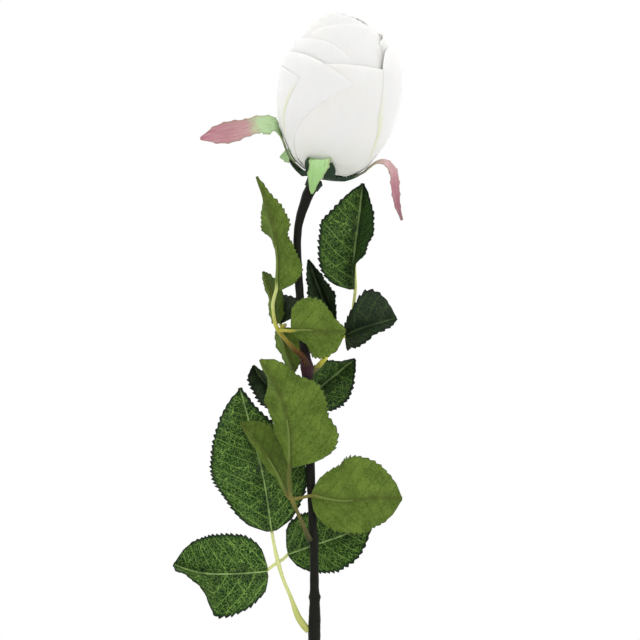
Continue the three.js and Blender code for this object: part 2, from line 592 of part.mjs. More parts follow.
// One petal: it grows from the bud's base, hugs the bud and frees its lip at the top. The
// inner face runs inside the core up to the lip, so that nothing is sealed behind it.
function petalSolid(petal) {
  const outer = [];
  const inner = [];
  const rows = 9;
  const columns = 9;
  for (let i = 0; i <= rows; i += 1) {
    const outerRow = [];
    const innerRow = [];
    for (let j = 0; j <= columns; j += 1) {
      const v = -1 + 2 * j / columns;
      const rim = petal.rim - petal.drop * Math.abs(v) ** petal.fall + petal.slope * v;
      const u = (i / rows) ** 0.9;
      const height = 1.6 + (rim - 1.6) * u;
      const wider = Math.min(u / petal.full, 1) ** petal.grow;
      const spread = petal.span * (petal.low + (1 - petal.low) * wider);
      const lift = petal.out * Math.min(height / 22, 1) + petal.flare * u ** 6 * (1 - v ** 4);
      const radius = along(petal.on, height) + lift + CLOTH / 2;
      const free = clamp((u - 0.72) / 0.2, 0, 1);
      const rooted = Math.min(radius - PETAL_THICK, along(CORE, height) - 1.2);
      const hollow = radius - PETAL_THICK;
      const under = Math.max(rooted + (hollow - rooted) * free, 0.6);
      outerRow.push(budPoint(petal.at + v * spread, height, radius));
      innerRow.push(budPoint(petal.at + v * spread, height - 0.3 * free, under));
    }
    outer.push(outerRow);
    inner.push(innerRow);
  }
  return slab(outer, inner);
}

function bloomSolid() {
  return solidBody(fuse([coreSolid(), ...PETALS.map(petalSolid)]));
}

function lobeHeight(direction) {
  return LOBES.reduce((height, [at, rise, half]) => {
    const apart = Math.abs(((direction - at + 540) % 360) - 180) / half;
    return Math.max(height, CUP_RIM + rise * Math.max(1 - apart ** 1.5, 0));
  }, CUP_RIM);
}

// A point that stands off the bud's skin, square to it.
function overSkin(direction, height, off) {
  const step = 0.4;
  const rise = along(SKIN, height + step) - along(SKIN, height - step);
  const long = Math.hypot(rise, 2 * step);
  const radius = along(SKIN, height) + off * 2 * step / long;
  return budPoint(direction, height - off * rise / long, Math.max(radius, 1));
}

// How far the cup stands off the skin: more where the petals begin to part.
const cupOff = (height) => GAP + 0.33 + 0.035 * height;

// The cup under the bud, its rim rising in five lobes.
function cupSolid() {
  const outer = [];
  const inner = [];
  const rows = 4;
  const sides = 36;
  for (let i = 0; i <= rows; i += 1) {
    const outerRow = [];
    const innerRow = [];
    for (let k = 0; k < sides; k += 1) {
      const direction = 360 * k / sides;
      const height = 0.5 + (lobeHeight(direction) - 0.5) * (i / rows);
      const apart = Math.abs(((direction - FLAP[0] + 540) % 360) - 180) / FLAP[1];
      const off = cupOff(height) + FLAP[2] * Math.max(1 - apart ** 2, 0) * (i / rows) ** 2;
      innerRow.push(overSkin(direction, height, off));
      outerRow.push(overSkin(direction, height, off + CALYX_THICK));
    }
    outer.push(outerRow);
    inner.push(innerRow);
  }
  return ringSlab(inner, outer);
}

// Like slab, but each row closes on itself and the first row is capped.
function ringSlab(inner, outer) {
  const rows = inner.length;
  const sides = inner[0].length;
  const points = [...inner.flat(), ...outer.flat()];
  const half = rows * sides;
  const faces = [];
  for (let r = 0; r < rows - 1; r += 1) {
    for (let k = 0; k < sides; k += 1) {
      const [a, b] = [r * sides + k, r * sides + (k + 1) % sides];
      [[a, b, b + sides], [a, b + sides, a + sides]].forEach(([p, q, s]) => {
        faces.push(p, q, s);
        faces.push(half + p, half + s, half + q);
      });
    }
  }
  const top = (rows - 1) * sides;
  for (let k = 0; k < sides; k += 1) {
    const next = (k + 1) % sides;
    faces.push(top + k, top + next, half + top + next, top + k, half + top + next, half + top + k);
    if (k > 0 && k < sides - 1) faces.push(0, next, k, half, half + k, half + next);
  }
  return closed(points, faces);
}

// A sepal's middle line: in the cup's wall first, then closer to the bud, then free.
function sepalRib(sepal) {
  const rooted = sepal.root.map((height) => {
    const off = cupOff(Math.min(height, CUP_TOP)) + CALYX_THICK / 2;
    const nearer = 0.02 * Math.max(height - CUP_TOP, 0);
    return overSkin(sepal.at, height, off - nearer).toArray();
  });
  return [...rooted, ...sepal.free];
}

function sepalSolid(sepal) {
  const rib = sepalRib(sepal);
  const steps = Math.ceil(1.5 * rib.length);
  const front = [];
  const back = [];
  for (let i = 0; i <= steps; i += 1) {
    const u = i / steps;
    const middle = pointOn(rib, u);
    const tangent = tangentOn(rib, u);
    const wide = new THREE.Vector3().crossVectors(tangent, pointOn(sepal.looks, u)).normalize();
    const normal = new THREE.Vector3().crossVectors(wide, tangent).normalize();
    const half = Math.max(smooth(sepal.half, u), 0.4);
    const curl = half * half / (2 * (along(SKIN, 8) + 4)) + 0.1 * half * u;
    const row = [-1, 0, 1].map((v) => middle.clone().addScaledVector(wide, v * half)
      .addScaledVector(normal, -curl * v * v));
    front.push(row.map((point) => point.clone().addScaledVector(normal, SEPAL_THICK / 2)));
    back.push(row.map((point) => point.clone().addScaledVector(normal, -SEPAL_THICK / 2)));
  }
  return slab(front, back);
}

// The hub that the stem's end stands under, between the stem and the cup.
const HUB = [[-0.9, 0, 383.2, 3.3], [0.2, 0, 385.2, 3.6], [1.1, 0, 386.7, 3.9], [1.9, 0, 387.8, 2.6]];

function calyxSolid() {
  const whole = fuse([cupSolid(), rod(HUB, 10, 3), ...SEPALS.map(sepalSolid)]);
  return solidBody(whole.subtract(stemRoom));
}

// ---- vase ---------------------------------------------------------------------------
function vaseProfile() {
  const { height, foot, belly, bellyHeight, neck, neckHeight, lip, wall, floor } = VASE;
  const outside = [
    [1.5, foot + 0.5], [14, foot + 4.6], [28, belly - 1], [bellyHeight, belly], [60, belly - 2.2],
    [78, belly - 8.6], [98, neck + 7.8], [116, neck + 2.2], [neckHeight, neck],
    [149, neck + 0.9], [157, neck + 2.4], [height - 1, lip],
  ];
  const heights = outside.map(([z]) => z);
  const radii = outside.map(([, r]) => r);
  const curve = (u) => [smooth(radii, u), smooth(heights, u)];
  const steps = 15;
  const points = [[0, 0], [foot - 1, 0]];
  for (let i = 0; i <= steps; i += 1) points.push(curve(i / steps));
  points.push([lip - 0.9, height], [lip - 2.2, height - 0.6]);
  for (let i = steps - 1; i >= 1; i -= 1) {
    const [r, z] = curve(i / steps);
    if (z > floor + 4) points.push([r - wall, z]);
  }
  points.push([foot - wall, floor + 1.5], [foot - wall - 3, floor], [0, floor]);
  return points.map(([r, z]) => new THREE.Vector2(r, z));
}

function vaseGeometry() {
  const turned = new THREE.LatheGeometry(vaseProfile(), VASE.sides);
  return toGeometry(toSolid(turned.rotateX(Math.PI / 2)));
}

// ---- the scene ----------------------------------------------------------------------
const object = new THREE.Group();
object.add(piece('vase', vaseGeometry(), COLOUR.vase, 0.25));

const rose = new THREE.Group();
rose.position.y = ROSE_BACK;
object.add(rose);
rose.add(piece('stem', stemRod(0), COLOUR.stem, 0.6));
rose.add(piece('calyx', toGeometry(calyxSolid()), COLOUR.calyx, 0.8));
rose.add(piece('bloom', toGeometry(bloomSolid()), COLOUR.petal, 0.85));
Object.entries(STALKS).forEach(([name, stalk]) => {
  rose.add(piece(name, toGeometry(stalkSolid(stalk)), stalk.colour, 0.5));
});
Object.entries(LEAVES).forEach(([name, leaf]) => {
  rose.add(piece(name, leafSolid(leaf), leaf.upper ? COLOUR.upper : COLOUR.under, 0.75));
});

export default object;
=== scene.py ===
"""The looks of a white artificial rose in a plain bud vase.

Sizes are in millimetres and turned into metres where a mesh is made.
+Z is up, the photograph looks along +Y, so the front is -Y and the right is +X.
"""

import bisect
import math
import random

import bpy
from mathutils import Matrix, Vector, noise


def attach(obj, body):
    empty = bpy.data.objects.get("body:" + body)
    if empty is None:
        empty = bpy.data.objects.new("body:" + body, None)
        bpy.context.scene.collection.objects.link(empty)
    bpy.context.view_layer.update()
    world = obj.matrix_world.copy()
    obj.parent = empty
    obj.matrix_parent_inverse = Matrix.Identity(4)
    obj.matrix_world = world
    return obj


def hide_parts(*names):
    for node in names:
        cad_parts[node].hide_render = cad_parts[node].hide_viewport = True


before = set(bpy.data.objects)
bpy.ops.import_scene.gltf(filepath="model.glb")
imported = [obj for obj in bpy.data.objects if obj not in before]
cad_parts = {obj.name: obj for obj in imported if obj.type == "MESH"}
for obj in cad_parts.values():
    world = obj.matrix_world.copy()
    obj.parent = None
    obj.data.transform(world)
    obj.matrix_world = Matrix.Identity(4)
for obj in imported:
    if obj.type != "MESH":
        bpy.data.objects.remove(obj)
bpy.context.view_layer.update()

MM = .001
ROSE_BACK = 8.6          # the rose's own y = 0 lies this far behind the vase's axis
GAP = .3                 # clearance between pieces that touch
LEAF_THICK = .4
PETAL_THICK = .35
SEPAL_THICK = .5
CALYX_THICK = 1
TOOTH_PITCH = 2.7        # length of one saw tooth along a leaf's edge
TOOTH = 1.15             # how far it stands out
GROOVE = .7              # how deep the rib lies in the leaf's upper face
VEIN_PITCH = 6.2         # distance between a leaf's side veins along its rib
VEIN_SLANT = .62         # how far they run forward for each mm across
VEIN_BEND = .011         # and how much more for each square mm
MIDRIB = .75             # radius of the moulded rib under a leaf, where it starts
MIDRIB_TAPER = .096      # share of that which each further step loses
MIDRIB_REACH = .42       # share of the leaf's length that it follows
MIDRIB_LIFT = .43        # half the solid leaf's thickness and a little play
BASE_ROUND = .05         # shares of a leaf's length over which its ends are rounded off
TIP_ROUND = .05
FRONT = Vector((0, -1, 0))

# ---- the shapes' driving sizes, as in the solids
# (x, y, z, radius)
STEM = [
    (-1, -12.4, 6.45, 2.3), (-.6, -8.3, 66, 2.3), (0, -4.15, 125, 2.3), (.2, -2.8, 145, 2.3),
    (.4, -1.2, 168, 2.5), (.55, 0, 182, 2.8), (.7, 0, 190, 2.7), (.75, 0, 197, 2.35),
    (.75, 0, 199.5, 2.7), (.65, 0, 203, 2.15), (.5, 0, 221, 1.9), (.3, 0, 224.5, 2.4),
    (.1, 0, 229, 1.95), (-.5, 0, 240, 1.8), (-1.2, 0, 258, 2.1), (-1.9, 0, 276, 2.4),
    (-2.4, 0, 297, 2.45), (-2.8, 0, 303, 2.95), (-3.4, 0, 308, 2.3), (-5.2, 0, 327, 2),
    (-6.4, 0, 342, 1.85), (-7.1, 0, 357, 1.8), (-6.6, 0, 366, 1.85), (-4.6, 0, 374, 2.2),
    (-2.6, 0, 379.5, 2.5), (-.7, 0, 383.6, 2.7),
]

# rib: points of the midrib from base to tip. left, right: half widths in equal steps from
# base to tip, as seen walking to the tip. tilt_l, tilt_r: how far each half turns to the
# front, in degrees, in equal steps. upper: the upper face looks to the front. facing: where
# the front face looks instead.
LEAF_KEYS = ("rib", "left", "right", "tilt_l", "tilt_r", "upper", "facing")
LEAVES = {name: dict(zip(LEAF_KEYS, row)) for name, row in {
  "leaf_low_end": ([(-18.6, 10, 228), (-22.4, 16, 251.5), (-27.5, 18, 271.5), (-33.2, 14, 293.7)],
    (6, 15, 19.2, 22.4, 22.6, 20.2, 16.3, 10.2, .8), (6, 14, 19, 20.5, 19, 14.5, 9.5, 4.2, .8),
    (15, 10, 8, 8), (10, 5, 8, 15), True),
  "leaf_low_left": ([(-20.2, 6, 210.6), (-35, 2, 209.6), (-50, 0, 210.1), (-63.2, 2, 213.8)],
    (7, 12.3, 16.2, 18.8, 19.4, 17.5, 14, 8.5, 1.2), (7, 14.5, 17.4, 18.4, 18.6, 17.8, 16, 12, 2),
    (10, 5, 5, 5, 8, 62, 80, 78, 60), (0, 10, 10), True),
  "leaf_low_right": ([(-11.5, 12, 217.8), (1, 17, 222), (14, 18, 226.5), (27.5, 17, 233.5)],
    (9, 14, 15.5, 15.8, 15.2, 13.8, 11.5, 7.5, 1), (4, 9.7, 12.4, 14.4, 15, 13.8, 11.2, 6.4, .8),
    (10, 15, 20), (10, 15, 20), True),
  "leaf_mid_end": ([(-9.8, -8, 257.5), (-10.5, -12, 274), (-14.5, -14, 291), (-24, -10, 306.5)],
    (4, 10, 15, 17, 17.5, 16.5, 13.5, 7.5, 1.5), (5, 17.5, 21.5, 21, 20.5, 18, 14, 9, 2.5),
    (-68, -67, -65, -64, -63, -62, -58, -75, -70), (5, 0, -5, -28, -22, -15, -40, -25, -10),
    False),
  "leaf_mid_left": ([(-11.3, -4, 245), (-17.5, -2, 258), (-25, 0, 268.5), (-33, 1, 278)],
    (3, 6, 8.5, 9.8, 10, 9.4, 7.6, 4.6, .8), (4, 8, 11, 13, 14, 14, 12.4, 8.5, 1.5),
    (-80, -76, -72, -70, -70, -70, -72, -74, -72), (-60, -45, -40), False),
  "leaf_mid_right": ([(-1, -5, 245.5), (13, -9, 243.2), (27, -8, 244.5), (40.3, -2, 243.6)],
    (5.5, 12.5, 16.6, 18.8, 19.6, 18.4, 15, 9.6, 2.5),
    (4.5, 11, 15.2, 16.8, 17.4, 17, 15.2, 11, 2.5), (-10, -10, -15), (-15, -25, -15), False),
  "leaf_high_end": ([(-15.5, -8, 337), (-15.8, -14, 352), (-18.5, -16, 369), (-25.5, -12, 388.5)],
    (4, 9, 12, 13, 13, 11.5, 8, 4, .8), (4.5, 10.5, 13, 13.3, 13, 11, 8, 4.5, .8),
    (-88, -87, -86, -85, -80, -62, -60, -84, -80), (-20, -15, -42, -58, -63, -45, -42, -50, -40),
    False),
  "leaf_high_right": ([(-10, -7, 319.5), (-3, -11, 319.8), (6, -12, 319), (14.8, -8, 319.2)],
    (7, 11.8, 14, 14.8, 14, 12.3, 10, 4.5, 2), (3, 6, 9.8, 12.6, 13.8, 14.2, 13, 9.8, 2.6),
    (0, -10, -10), (-35, -30, -20), False),
  "leaf_high_left": ([(-17.2, 4, 322), (-17.5, 5, 329), (-19.3, 5, 337), (-22.6, 2, 345.8)],
    (2.5, 5.5, 7.5, 8.5, 8.6, 8, 6.2, 3.8, .6), (3, 6, 8, 9.5, 10, 9.5, 8, 5, .8),
    (-70, -76, -74), (-65, -60, -60), False),
  "leaf_high_back": (
    [(-14.5, 13, 322.4), (-14.3, 17, 326.8), (-14.5, 21, 331.3), (-15.3, 25, 335.8)],
    (2.5, 5, 6.4, 7, 7, 6.4, 5.2, 3.2, .6), (4, 8, 10.5, 11, 10, 7.8, 5, 2.6, .6), (45, 55, 55),
    (35, 35, 35), True),
  "leaf_high_low": ([(-14.8, 4, 320), (-13.2, 6, 314), (-11, 6, 308), (-8.3, 4, 300.5)],
    (3, 6, 8, 9, 9, 8.2, 6.5, 4, .8), (3.5, 7, 9.2, 10, 10, 9.4, 7.6, 4.6, .8), (-34, -30, -45),
    (-70, -70, -66), False),
  "leaf_back_end": ([(18.3, 10, 337.5), (18.4, 10, 353), (20.4, 8, 369), (22.6, 5, 386)],
    (5, 12.7, 15.8, 16.7, 16.9, 17, 12.9, 7.5, 1), (4, 9, 12, 13.5, 14, 13.5, 11, 6.5, 1),
    (10, 12, 15, 25), (88, 86, 84, 72, 64, 54, 55, 52, 45), True),
  "leaf_back_right": ([(14.6, 12, 317), (21, 8, 320), (29.5, 6, 322.8), (38, 8, 324.8)],
    (1.8, 4.6, 7.2, 10.4, 13.6, 15.7, 14.2, 9.3, 1.5), (9, 9.5, 10.5, 10.8, 9.6, 8, 6.4, 4, .8),
    (35, 20, 10, 5, 0), (45, 50, 55, 55), True),
  "leaf_back_left": ([(9, 6, 321), (5, 8, 332), (1.2, 8, 342), (-2.2, 6, 351.5)],
    (3, 7, 9.6, 11, 11, 10, 7.6, 4.4, .8), (3, 7, 9.6, 11, 11, 9.8, 7.4, 4.2, .8), (60, 60, 60),
    (55, 62, 66), True),
  "leaf_rear_right": ([(-3, 16, 287), (4, 19, 294), (12, 21, 300.5), (19.2, 19, 306.5)],
    (6, 11, 13, 14, 14, 12.5, 9.5, 5, 1), (6, 11, 12.6, 13.2, 12.6, 10.8, 8.2, 5, 1),
    (50, 53, 60), (15, 15, 20), True),
  "leaf_rear_left": ([(-12, 18, 287), (-18, 24, 292), (-23.5, 27, 297.5), (-27.3, 27, 303.5)],
    (5, 8, 9.2, 8.8, 8, 7.4, 6.8, 4.8, .8), (4, 8, 10.6, 12, 12, 10.8, 8.4, 5, .8), (15, 25, 30),
    (72, 72, 72), True),
  "leaf_rear_end": ([(-7.4, 23, 283), (-8.5, 33, 286), (-10, 43, 286), (-11, 53, 282)],
    (5, 10.5, 13.5, 15, 15, 13.8, 11, 7, .8), (5, 10.5, 13.5, 15, 15, 13.8, 11, 7, .8),
    (20, 20, 20), (20, 20, 20), True, (0, 0, 1)),
}.items()}

# Leaves that lie in shade: they get the shaded copy of the upper face, with the net dimmed and a
# bluish painted shade over the ground.
SHADED_LEAVES = ("leaf_back_right", "leaf_back_left", "leaf_high_back", "leaf_rear_left")

# Leaf stalks: their colours by height, and the way to each leaf through (x, y, z, radius),
# which goes on as the rib under that leaf.
STALKS = {
  "stalk_low": ([(183, (.36, .38, .1)), (190, (.42, .45, .13)), (205, (.56, .6, .24)),
    (230, (.6, .63, .27))], {
    "leaf_low_end": [(-1.9, .6, 184, 1.5), (-4.5, 1, 187, 1.6), (-7, 2, 191, 1.45),
      (-10, 3, 199, .9), (-13.4, 5, 207, .8), (-15.8, 6.4, 214.7, 1), (-17.5, 9, 222, .75)],
    "leaf_low_left": [(-15.8, 6.4, 214.7, .9), (-18, 7, 213.2, .75)],
    "leaf_low_right": [(-15.8, 6.4, 214.7, .9), (-13.6, 10, 215.8, .75)]}),
  "stalk_mid": ([(224, (.02, .022, .01)), (231, (.085, .08, .022)), (238, (.1, .09, .025)),
    (244, (.14, .13, .028)), (248, (.09, .095, .018)), (262, (.065, .08, .013))], {
    "leaf_mid_end": [(-1.2, -2.2, 224.8, 1.3), (-4, -4.6, 231, .95), (-7, -6.3, 238, .85),
      (-9.5, -7, 243.5, 1), (-10.5, -8, 248, .85), (-10.9, -9, 253.6, .8)],
    "leaf_mid_left": [(-9.5, -7, 243.5, .9), (-10.6, -6.2, 244.2, .75)],
    "leaf_mid_right": [(-9.5, -7, 243.5, .9), (-5, -7.4, 244.4, .75)]}),
  "stalk_high": ([(302, (.018, .004, .006)), (309, (.055, .018, .003)), (314, (.16, .12, .01)),
    (321, (.36, .34, .045)), (330, (.48, .52, .18)), (356, (.3, .38, .12))], {
    "leaf_high_end": [(-2.6, -2.4, 303.2, 1.5), (-5, -3.6, 308, 1.5), (-9, -4, 311.5, 1.2),
      (-13, -3, 316, .95), (-16, -1.6, 320, 1), (-17.5, -2, 325, .75), (-18, -5, 331, .75),
      (-17, -8.4, 335.6, .75)],
    "leaf_high_right": [(-15.5, -1.8, 319, .9), (-12.5, -6, 319.3, .8)],
    "leaf_high_left": [(-16.3, -1.6, 321, .9), (-17, 1, 321.6, .75)],
    "leaf_high_low": [(-14.6, -2.2, 318.2, .9), (-14.8, .8, 319.8, .8)],
    "leaf_high_back": [(-15.2, -1.9, 319, .9), (-13.2, .5, 321.4, .8), (-12.5, 6, 321.8, .75),
      (-13.3, 12, 320.8, .75)]}),
  "stalk_back": ([(299, (.06, .05, .02)), (302.5, (.1, .11, .03)), (306, (.5, .48, .05)),
    (312, (.57, .58, .1)), (334, (.64, .66, .27))], {
    "leaf_back_end": [(-1.4, 1.8, 300, 1.4), (2.5, 3.4, 303.2, 1.3), (7, 6, 309, 1),
      (11, 11, 315, 1), (17, 15.6, 322, .8), (18.4, 14.6, 331, .75)],
    "leaf_back_right": [(11, 11, 315, .9), (12.6, 13.6, 315.8, .8)],
    "leaf_back_left": [(11, 11, 315, .9), (10, 9.4, 318.4, .8)]}),
  "stalk_rear": ([(271, (.12, .1, .03)), (280, (.34, .36, .12)), (296, (.4, .44, .18))], {
    "leaf_rear_end": [(-2.2, 2.2, 272, 1.4), (-4, 8, 277, 1.1), (-6.2, 14.5, 281.5, 1),
      (-7.2, 19.6, 281.8, .75)],
    "leaf_rear_right": [(-6.2, 14.5, 281.5, .9), (-4.4, 15.6, 284.6, .8)],
    "leaf_rear_left": [(-6.2, 14.5, 281.5, .9), (-9.4, 17, 284.4, .8)]}),
}

# The bud: its axis, and its profiles as (height along the axis, radius).
BUD_BASE = Vector((6.5, 0, 388))
BUD_TILT = math.radians(8)
BUD_SIDEWAYS = -3.5
CORE = [
    (.4, .5), (1.2, 7), (4.5, 12.5), (9, 17), (16, 20.8), (25, 23.6), (35, 25), (44, 25.2),
    (52, 24), (59, 21.2), (65, 17.2), (69.5, 13), (72.6, 9), (74.2, 6.2), (75, 4),
]
SKIN = [
    (.3, .5), (.8, 6), (1.4, 8.5), (3.9, 13.1), (7.5, 17.2), (14.7, 21.7), (19.6, 24.2),
    (25, 26.1), (33, 27.5), (38, 27.8), (44, 27.5), (52, 26), (60, 22.8), (66, 18.4), (71, 12.4),
    (75, 6),
]

# Petals, inner ones first: direction of the middle, 0 to the front, 90 to the right; half the
# angle that it covers, the share of that at the base, and how late it widens, in two numbers;
# height of its upper edge, how much that falls to the corners, how late, and how much it
# rises to the right; the profile that it follows, how far it stands off it, how far its lip
# leans out and how far its edge rolls over.
PETALS = [
    (-30, 112, .5, .8, .8, 73.2, 4, 2.6, 0, "core", -1.1, -.3, .2),
    (150, 104, .5, .8, .8, 73.6, 5, 2.6, 1, "core", -.7, 0, .2),
    (42, 92, .6, .8, .8, 69.6, 6, 2.6, 0, "core", -.2, 0, .3),
    (-82, 93, .4, 1, .8, 60.5, 9.5, 5, 0, "core", .35, .2, .3),
    (122, 66, .5, .8, .8, 68.4, 5, 2.6, 0, "core", .2, 1.8, 1.2),
    (-165, 62, .5, .8, .8, 58, 8, 2.6, 0, "skin", -1.35, .8, .5),
    (15, 86, .86, .8, .8, 50.3, 8, 3.4, 2.6, "skin", -.8, 0, .3),
    (-72, 84, .05, 1.5, 1, 53.5, 12, 2.6, 0, "skin", -.35, .1, .3),
    (118, 73, .62, .8, .55, 60, 9.5, 12, -2.2, "skin", -.35, 2.9, .3),
    (-128, 85, .57, 1.4, .95, 47.8, 5.5, 3, 0, "skin", .05, .1, .3),
]

# The calyx: a shallow cup whose rim rises in lobes (direction, further height, half width).
CUP_RIM = 1.6
LOBES = [(-31, 6.8, 14), (-50, 2.6, 22), (-14, 4.8, 20), (4, 5.2, 14), (-88, 5.5, 20),
         (82, 4.5, 20), (150, 5.5, 20), (-150, 5.5, 20)]
FLAP = (-60, 30, 3)         # where the cup's rim bends out: direction, half width, how far
HUB = [(-.9, 0, 383.2, 3.3), (.2, 0, 385.2, 3.6), (1.1, 0, 386.7, 3.9), (1.9, 0, 387.8, 2.6)]
# Sepals: direction of the root on the cup, its heights there, half widths, points from the
# cup to the tip, the way the face looks, and colours by share of the length.
SEPALS = {
  "sepal_front": (-15, [2.5, 4.5, 6], [4.2, 4.5, 4.7, 4.6, 4.2, 2.7, .4],
    [(3.4, -18.9, 395.3), (2.5, -19.7, 392.4), (.5, -19.3, 386.8), (-.5, -18.6, 380.2)],
    [(-.1, -1, -.6), (-.1, -1, -.5), (-.1, -1, -.6), (0, -.1, -1), (0, 1, -.3), (0, 1, 0),
     (0, 1, 0)],
    [(0, (.02, .05, .03)), (.28, (.44, .6, .34)), (.5, (.36, .57, .26)), (.8, (.26, .46, .17)),
     (1, (.24, .42, .15))]),
  "sepal_left": (-86, [3, 6.5, 11, 14.5], [3, 2.8, 2.6, 2.4, 2.8, 4.4, 3.9, 3.8, 4.7, 3.8, .4],
    [(-16.3, -2.6, 409.8), (-19, -2.4, 411.2), (-24, -1.4, 411.9), (-30, -1.1, 410.4),
     (-36.5, -.8, 408.8), (-43.5, -.4, 407.3), (-50.8, 0, 405.6)],
    [(-1, 0, -.6), (-1, 0, -.4), (-1, 0, -.2), (-1, 0, -.2), (-1, .4, -.2), (0, 1, -.3),
     (0, 1, -.2), (0, 1, 0), (0, 1, .1), (0, 1, 0), (0, 1, 0)],
    [(0, (.02, .05, .03)), (.22, (.07, .12, .05)), (.33, (.22, .34, .14)), (.4, (.34, .5, .26)),
     (.6, (.38, .53, .29)), (.7, (.44, .25, .26)), (1, (.38, .15, .2))]),
  "sepal_right": (82, [3, 5.5, 8], [3, 2, 1.4, 1.4, 1.6, 1.8, 1.8, 1.3, .4],
    [(29.2, -3, 395), (33.2, -3.2, 394.4), (36.3, -3, 390), (37, -3, 383), (37.9, -2.6, 376),
     (40, -2, 368.8)],
    [(.6, 0, -.8), (.5, .1, -.8), (.4, .2, -.8), (0, .5, -.8), (-.3, .8, -.5), (-.2, 1, 0),
     (0, 1, 0), (0, 1, 0), (0, 1, 0)],
    [(0, (.03, .06, .03)), (.3, (.4, .36, .26)), (.5, (.55, .36, .36)), (.75, (.36, .15, .19)),
     (1, (.24, .11, .14))]),
  "sepal_back_right": (150, [3, 7, 13], [3.6, 3.8, 4, 4, 3, .4],
    [(22.6, 25.6, 408), (25.4, 29.5, 412.4), (29, 34, 413)],
    [(.5, .87, -.6), (.5, .87, -.4), (.5, .87, -.2), (.5, .87, -.3), (.4, .7, -.8), (.2, .4, -1)],
    [(0, (.02, .05, .03)), (.4, (.25, .38, .15)), (1, (.48, .24, .22))]),
  "sepal_back_left": (-150, [3, 7, 10], [3.6, 3.8, 4, 3.8, 4, .4],
    [(-6.2, 21.6, 399), (-10.2, 25.4, 399), (-15.2, 28.4, 398.4)],
    [(-.5, .87, -.6), (-.5, .87, -.4), (-.5, .87, -.2), (-.5, .87, -.2), (-.2, 1, -.4),
     (0, 1, -.2)], [(0, (.02, .05, .03)), (.4, (.2, .33, .13)), (1, (.28, .44, .2))]),
}

# The vase's outside as (height, radius).
VASE = [(1.5, 27.5), (14, 31.6), (28, 33.5), (44, 34.5), (60, 32.3), (78, 25.9), (98, 19),
        (116, 13.4), (136, 11.2), (149, 12.1), (157, 13.6), (161, 15.2)]
VASE_HEIGHT, VASE_FOOT, VASE_LIP, VASE_WALL, VASE_FLOOR = 162, 27, 15.2, 3, 6
VASE_SIDES = 96


# ---- curves
def clamp(x, low, high):
    return min(max(x, low), high)


def smooth_step(low, high, x):
    t = clamp((x - low) / (high - low), 0, 1)
    return t * t * (3 - 2 * t)


def smooth(values, u):
    """A smooth curve through equally spaced values, for u from 0 to 1."""
    last = len(values) - 1
    x = u * last
    i = int(clamp(math.floor(x), 0, last - 1))
    f = x - i
    b, c = values[i], values[i + 1]
    a = values[i - 1] if i > 0 else 2 * b - c
    d = values[i + 2] if i + 2 <= last else 2 * c - b
    return b + .5 * f * (c - a + f * (2 * a - 5 * b + 4 * c - d + f * (3 * (b - c) + d - a)))


def point_on(points, u):
    return Vector([smooth([p[k] for p in points], u) for k in range(3)])


def tangent_on(points, u, step=.004):
    return (point_on(points, u + step) - point_on(points, u - step)).normalized()


def length_of(rib, steps=12):
    points = [point_on(rib, i / steps) for i in range(steps + 1)]
    return sum((b - a).length for a, b in zip(points, points[1:]))


def curve(profile, steps):
    """Points sampled closely along a smooth curve through a profile's pairs."""
    return [[smooth([p[k] for p in profile], i / steps) for k in (0, 1)]
            for i in range(steps + 1)]


PROFILES = {name: list(zip(*curve(rows, 300))) for name, rows in (("core", CORE), ("skin", SKIN))}


def radius_at(profile, height):
    heights, radii = PROFILES[profile]
    i = int(clamp(bisect.bisect_left(heights, height), 1, len(heights) - 1))
    span = heights[i] - heights[i - 1]
    f = clamp((height - heights[i - 1]) / span, 0, 1) if span else 0
    return radii[i - 1] + (radii[i] - radii[i - 1]) * f


# ---- meshes
def placed(name, data):
    """A new object in the scene."""
    obj = bpy.data.objects.new(name, data)
    bpy.context.scene.collection.objects.link(obj)
    return obj


def piece(name, points, faces, materials, slot, *, back=ROSE_BACK, which=None, grain=None,
          rim=None, sharp=50, node=None):
    """A mesh object of the object, riding on the root body and standing for its node."""
    mesh = bpy.data.meshes.new(name)
    mesh.from_pydata([(p[0] * MM, (p[1] + back) * MM, p[2] * MM) for p in points], [], faces)
    for material in materials:
        mesh.materials.append(material)
    mesh.polygons.foreach_set("use_smooth", [True] * len(mesh.polygons))
    if which:
        mesh.polygons.foreach_set("material_index", which)
    for layer, values in (("grain", grain), ("rim", rim)):
        if values:
            uv = mesh.uv_layers.new(name=layer)
            flat = [c for loop in mesh.loops for c in values[loop.vertex_index]]
            uv.data.foreach_set("uv", flat)
    mesh.update()
    mesh.set_sharp_from_angle(angle=math.radians(sharp))
    obj = placed(name, mesh)
    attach(obj, "root")
    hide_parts(node or name)


def grid_normals(grid, hints):
    """Unit normals of a grid of points, on the side of the hints."""
    rows, columns = len(grid), len(grid[0])
    normals = []
    for r in range(rows):
        for c in range(columns):
            down = grid[min(r + 1, rows - 1)][c] - grid[max(r - 1, 0)][c]
            over = grid[r][min(c + 1, columns - 1)] - grid[r][max(c - 1, 0)]
            n, hint = down.cross(over), hints[r * columns + c]
            n = n.normalized() if n.length > 1e-9 else hint.copy()
            normals.append(n if n.dot(hint) > 0 else -n)
    return normals


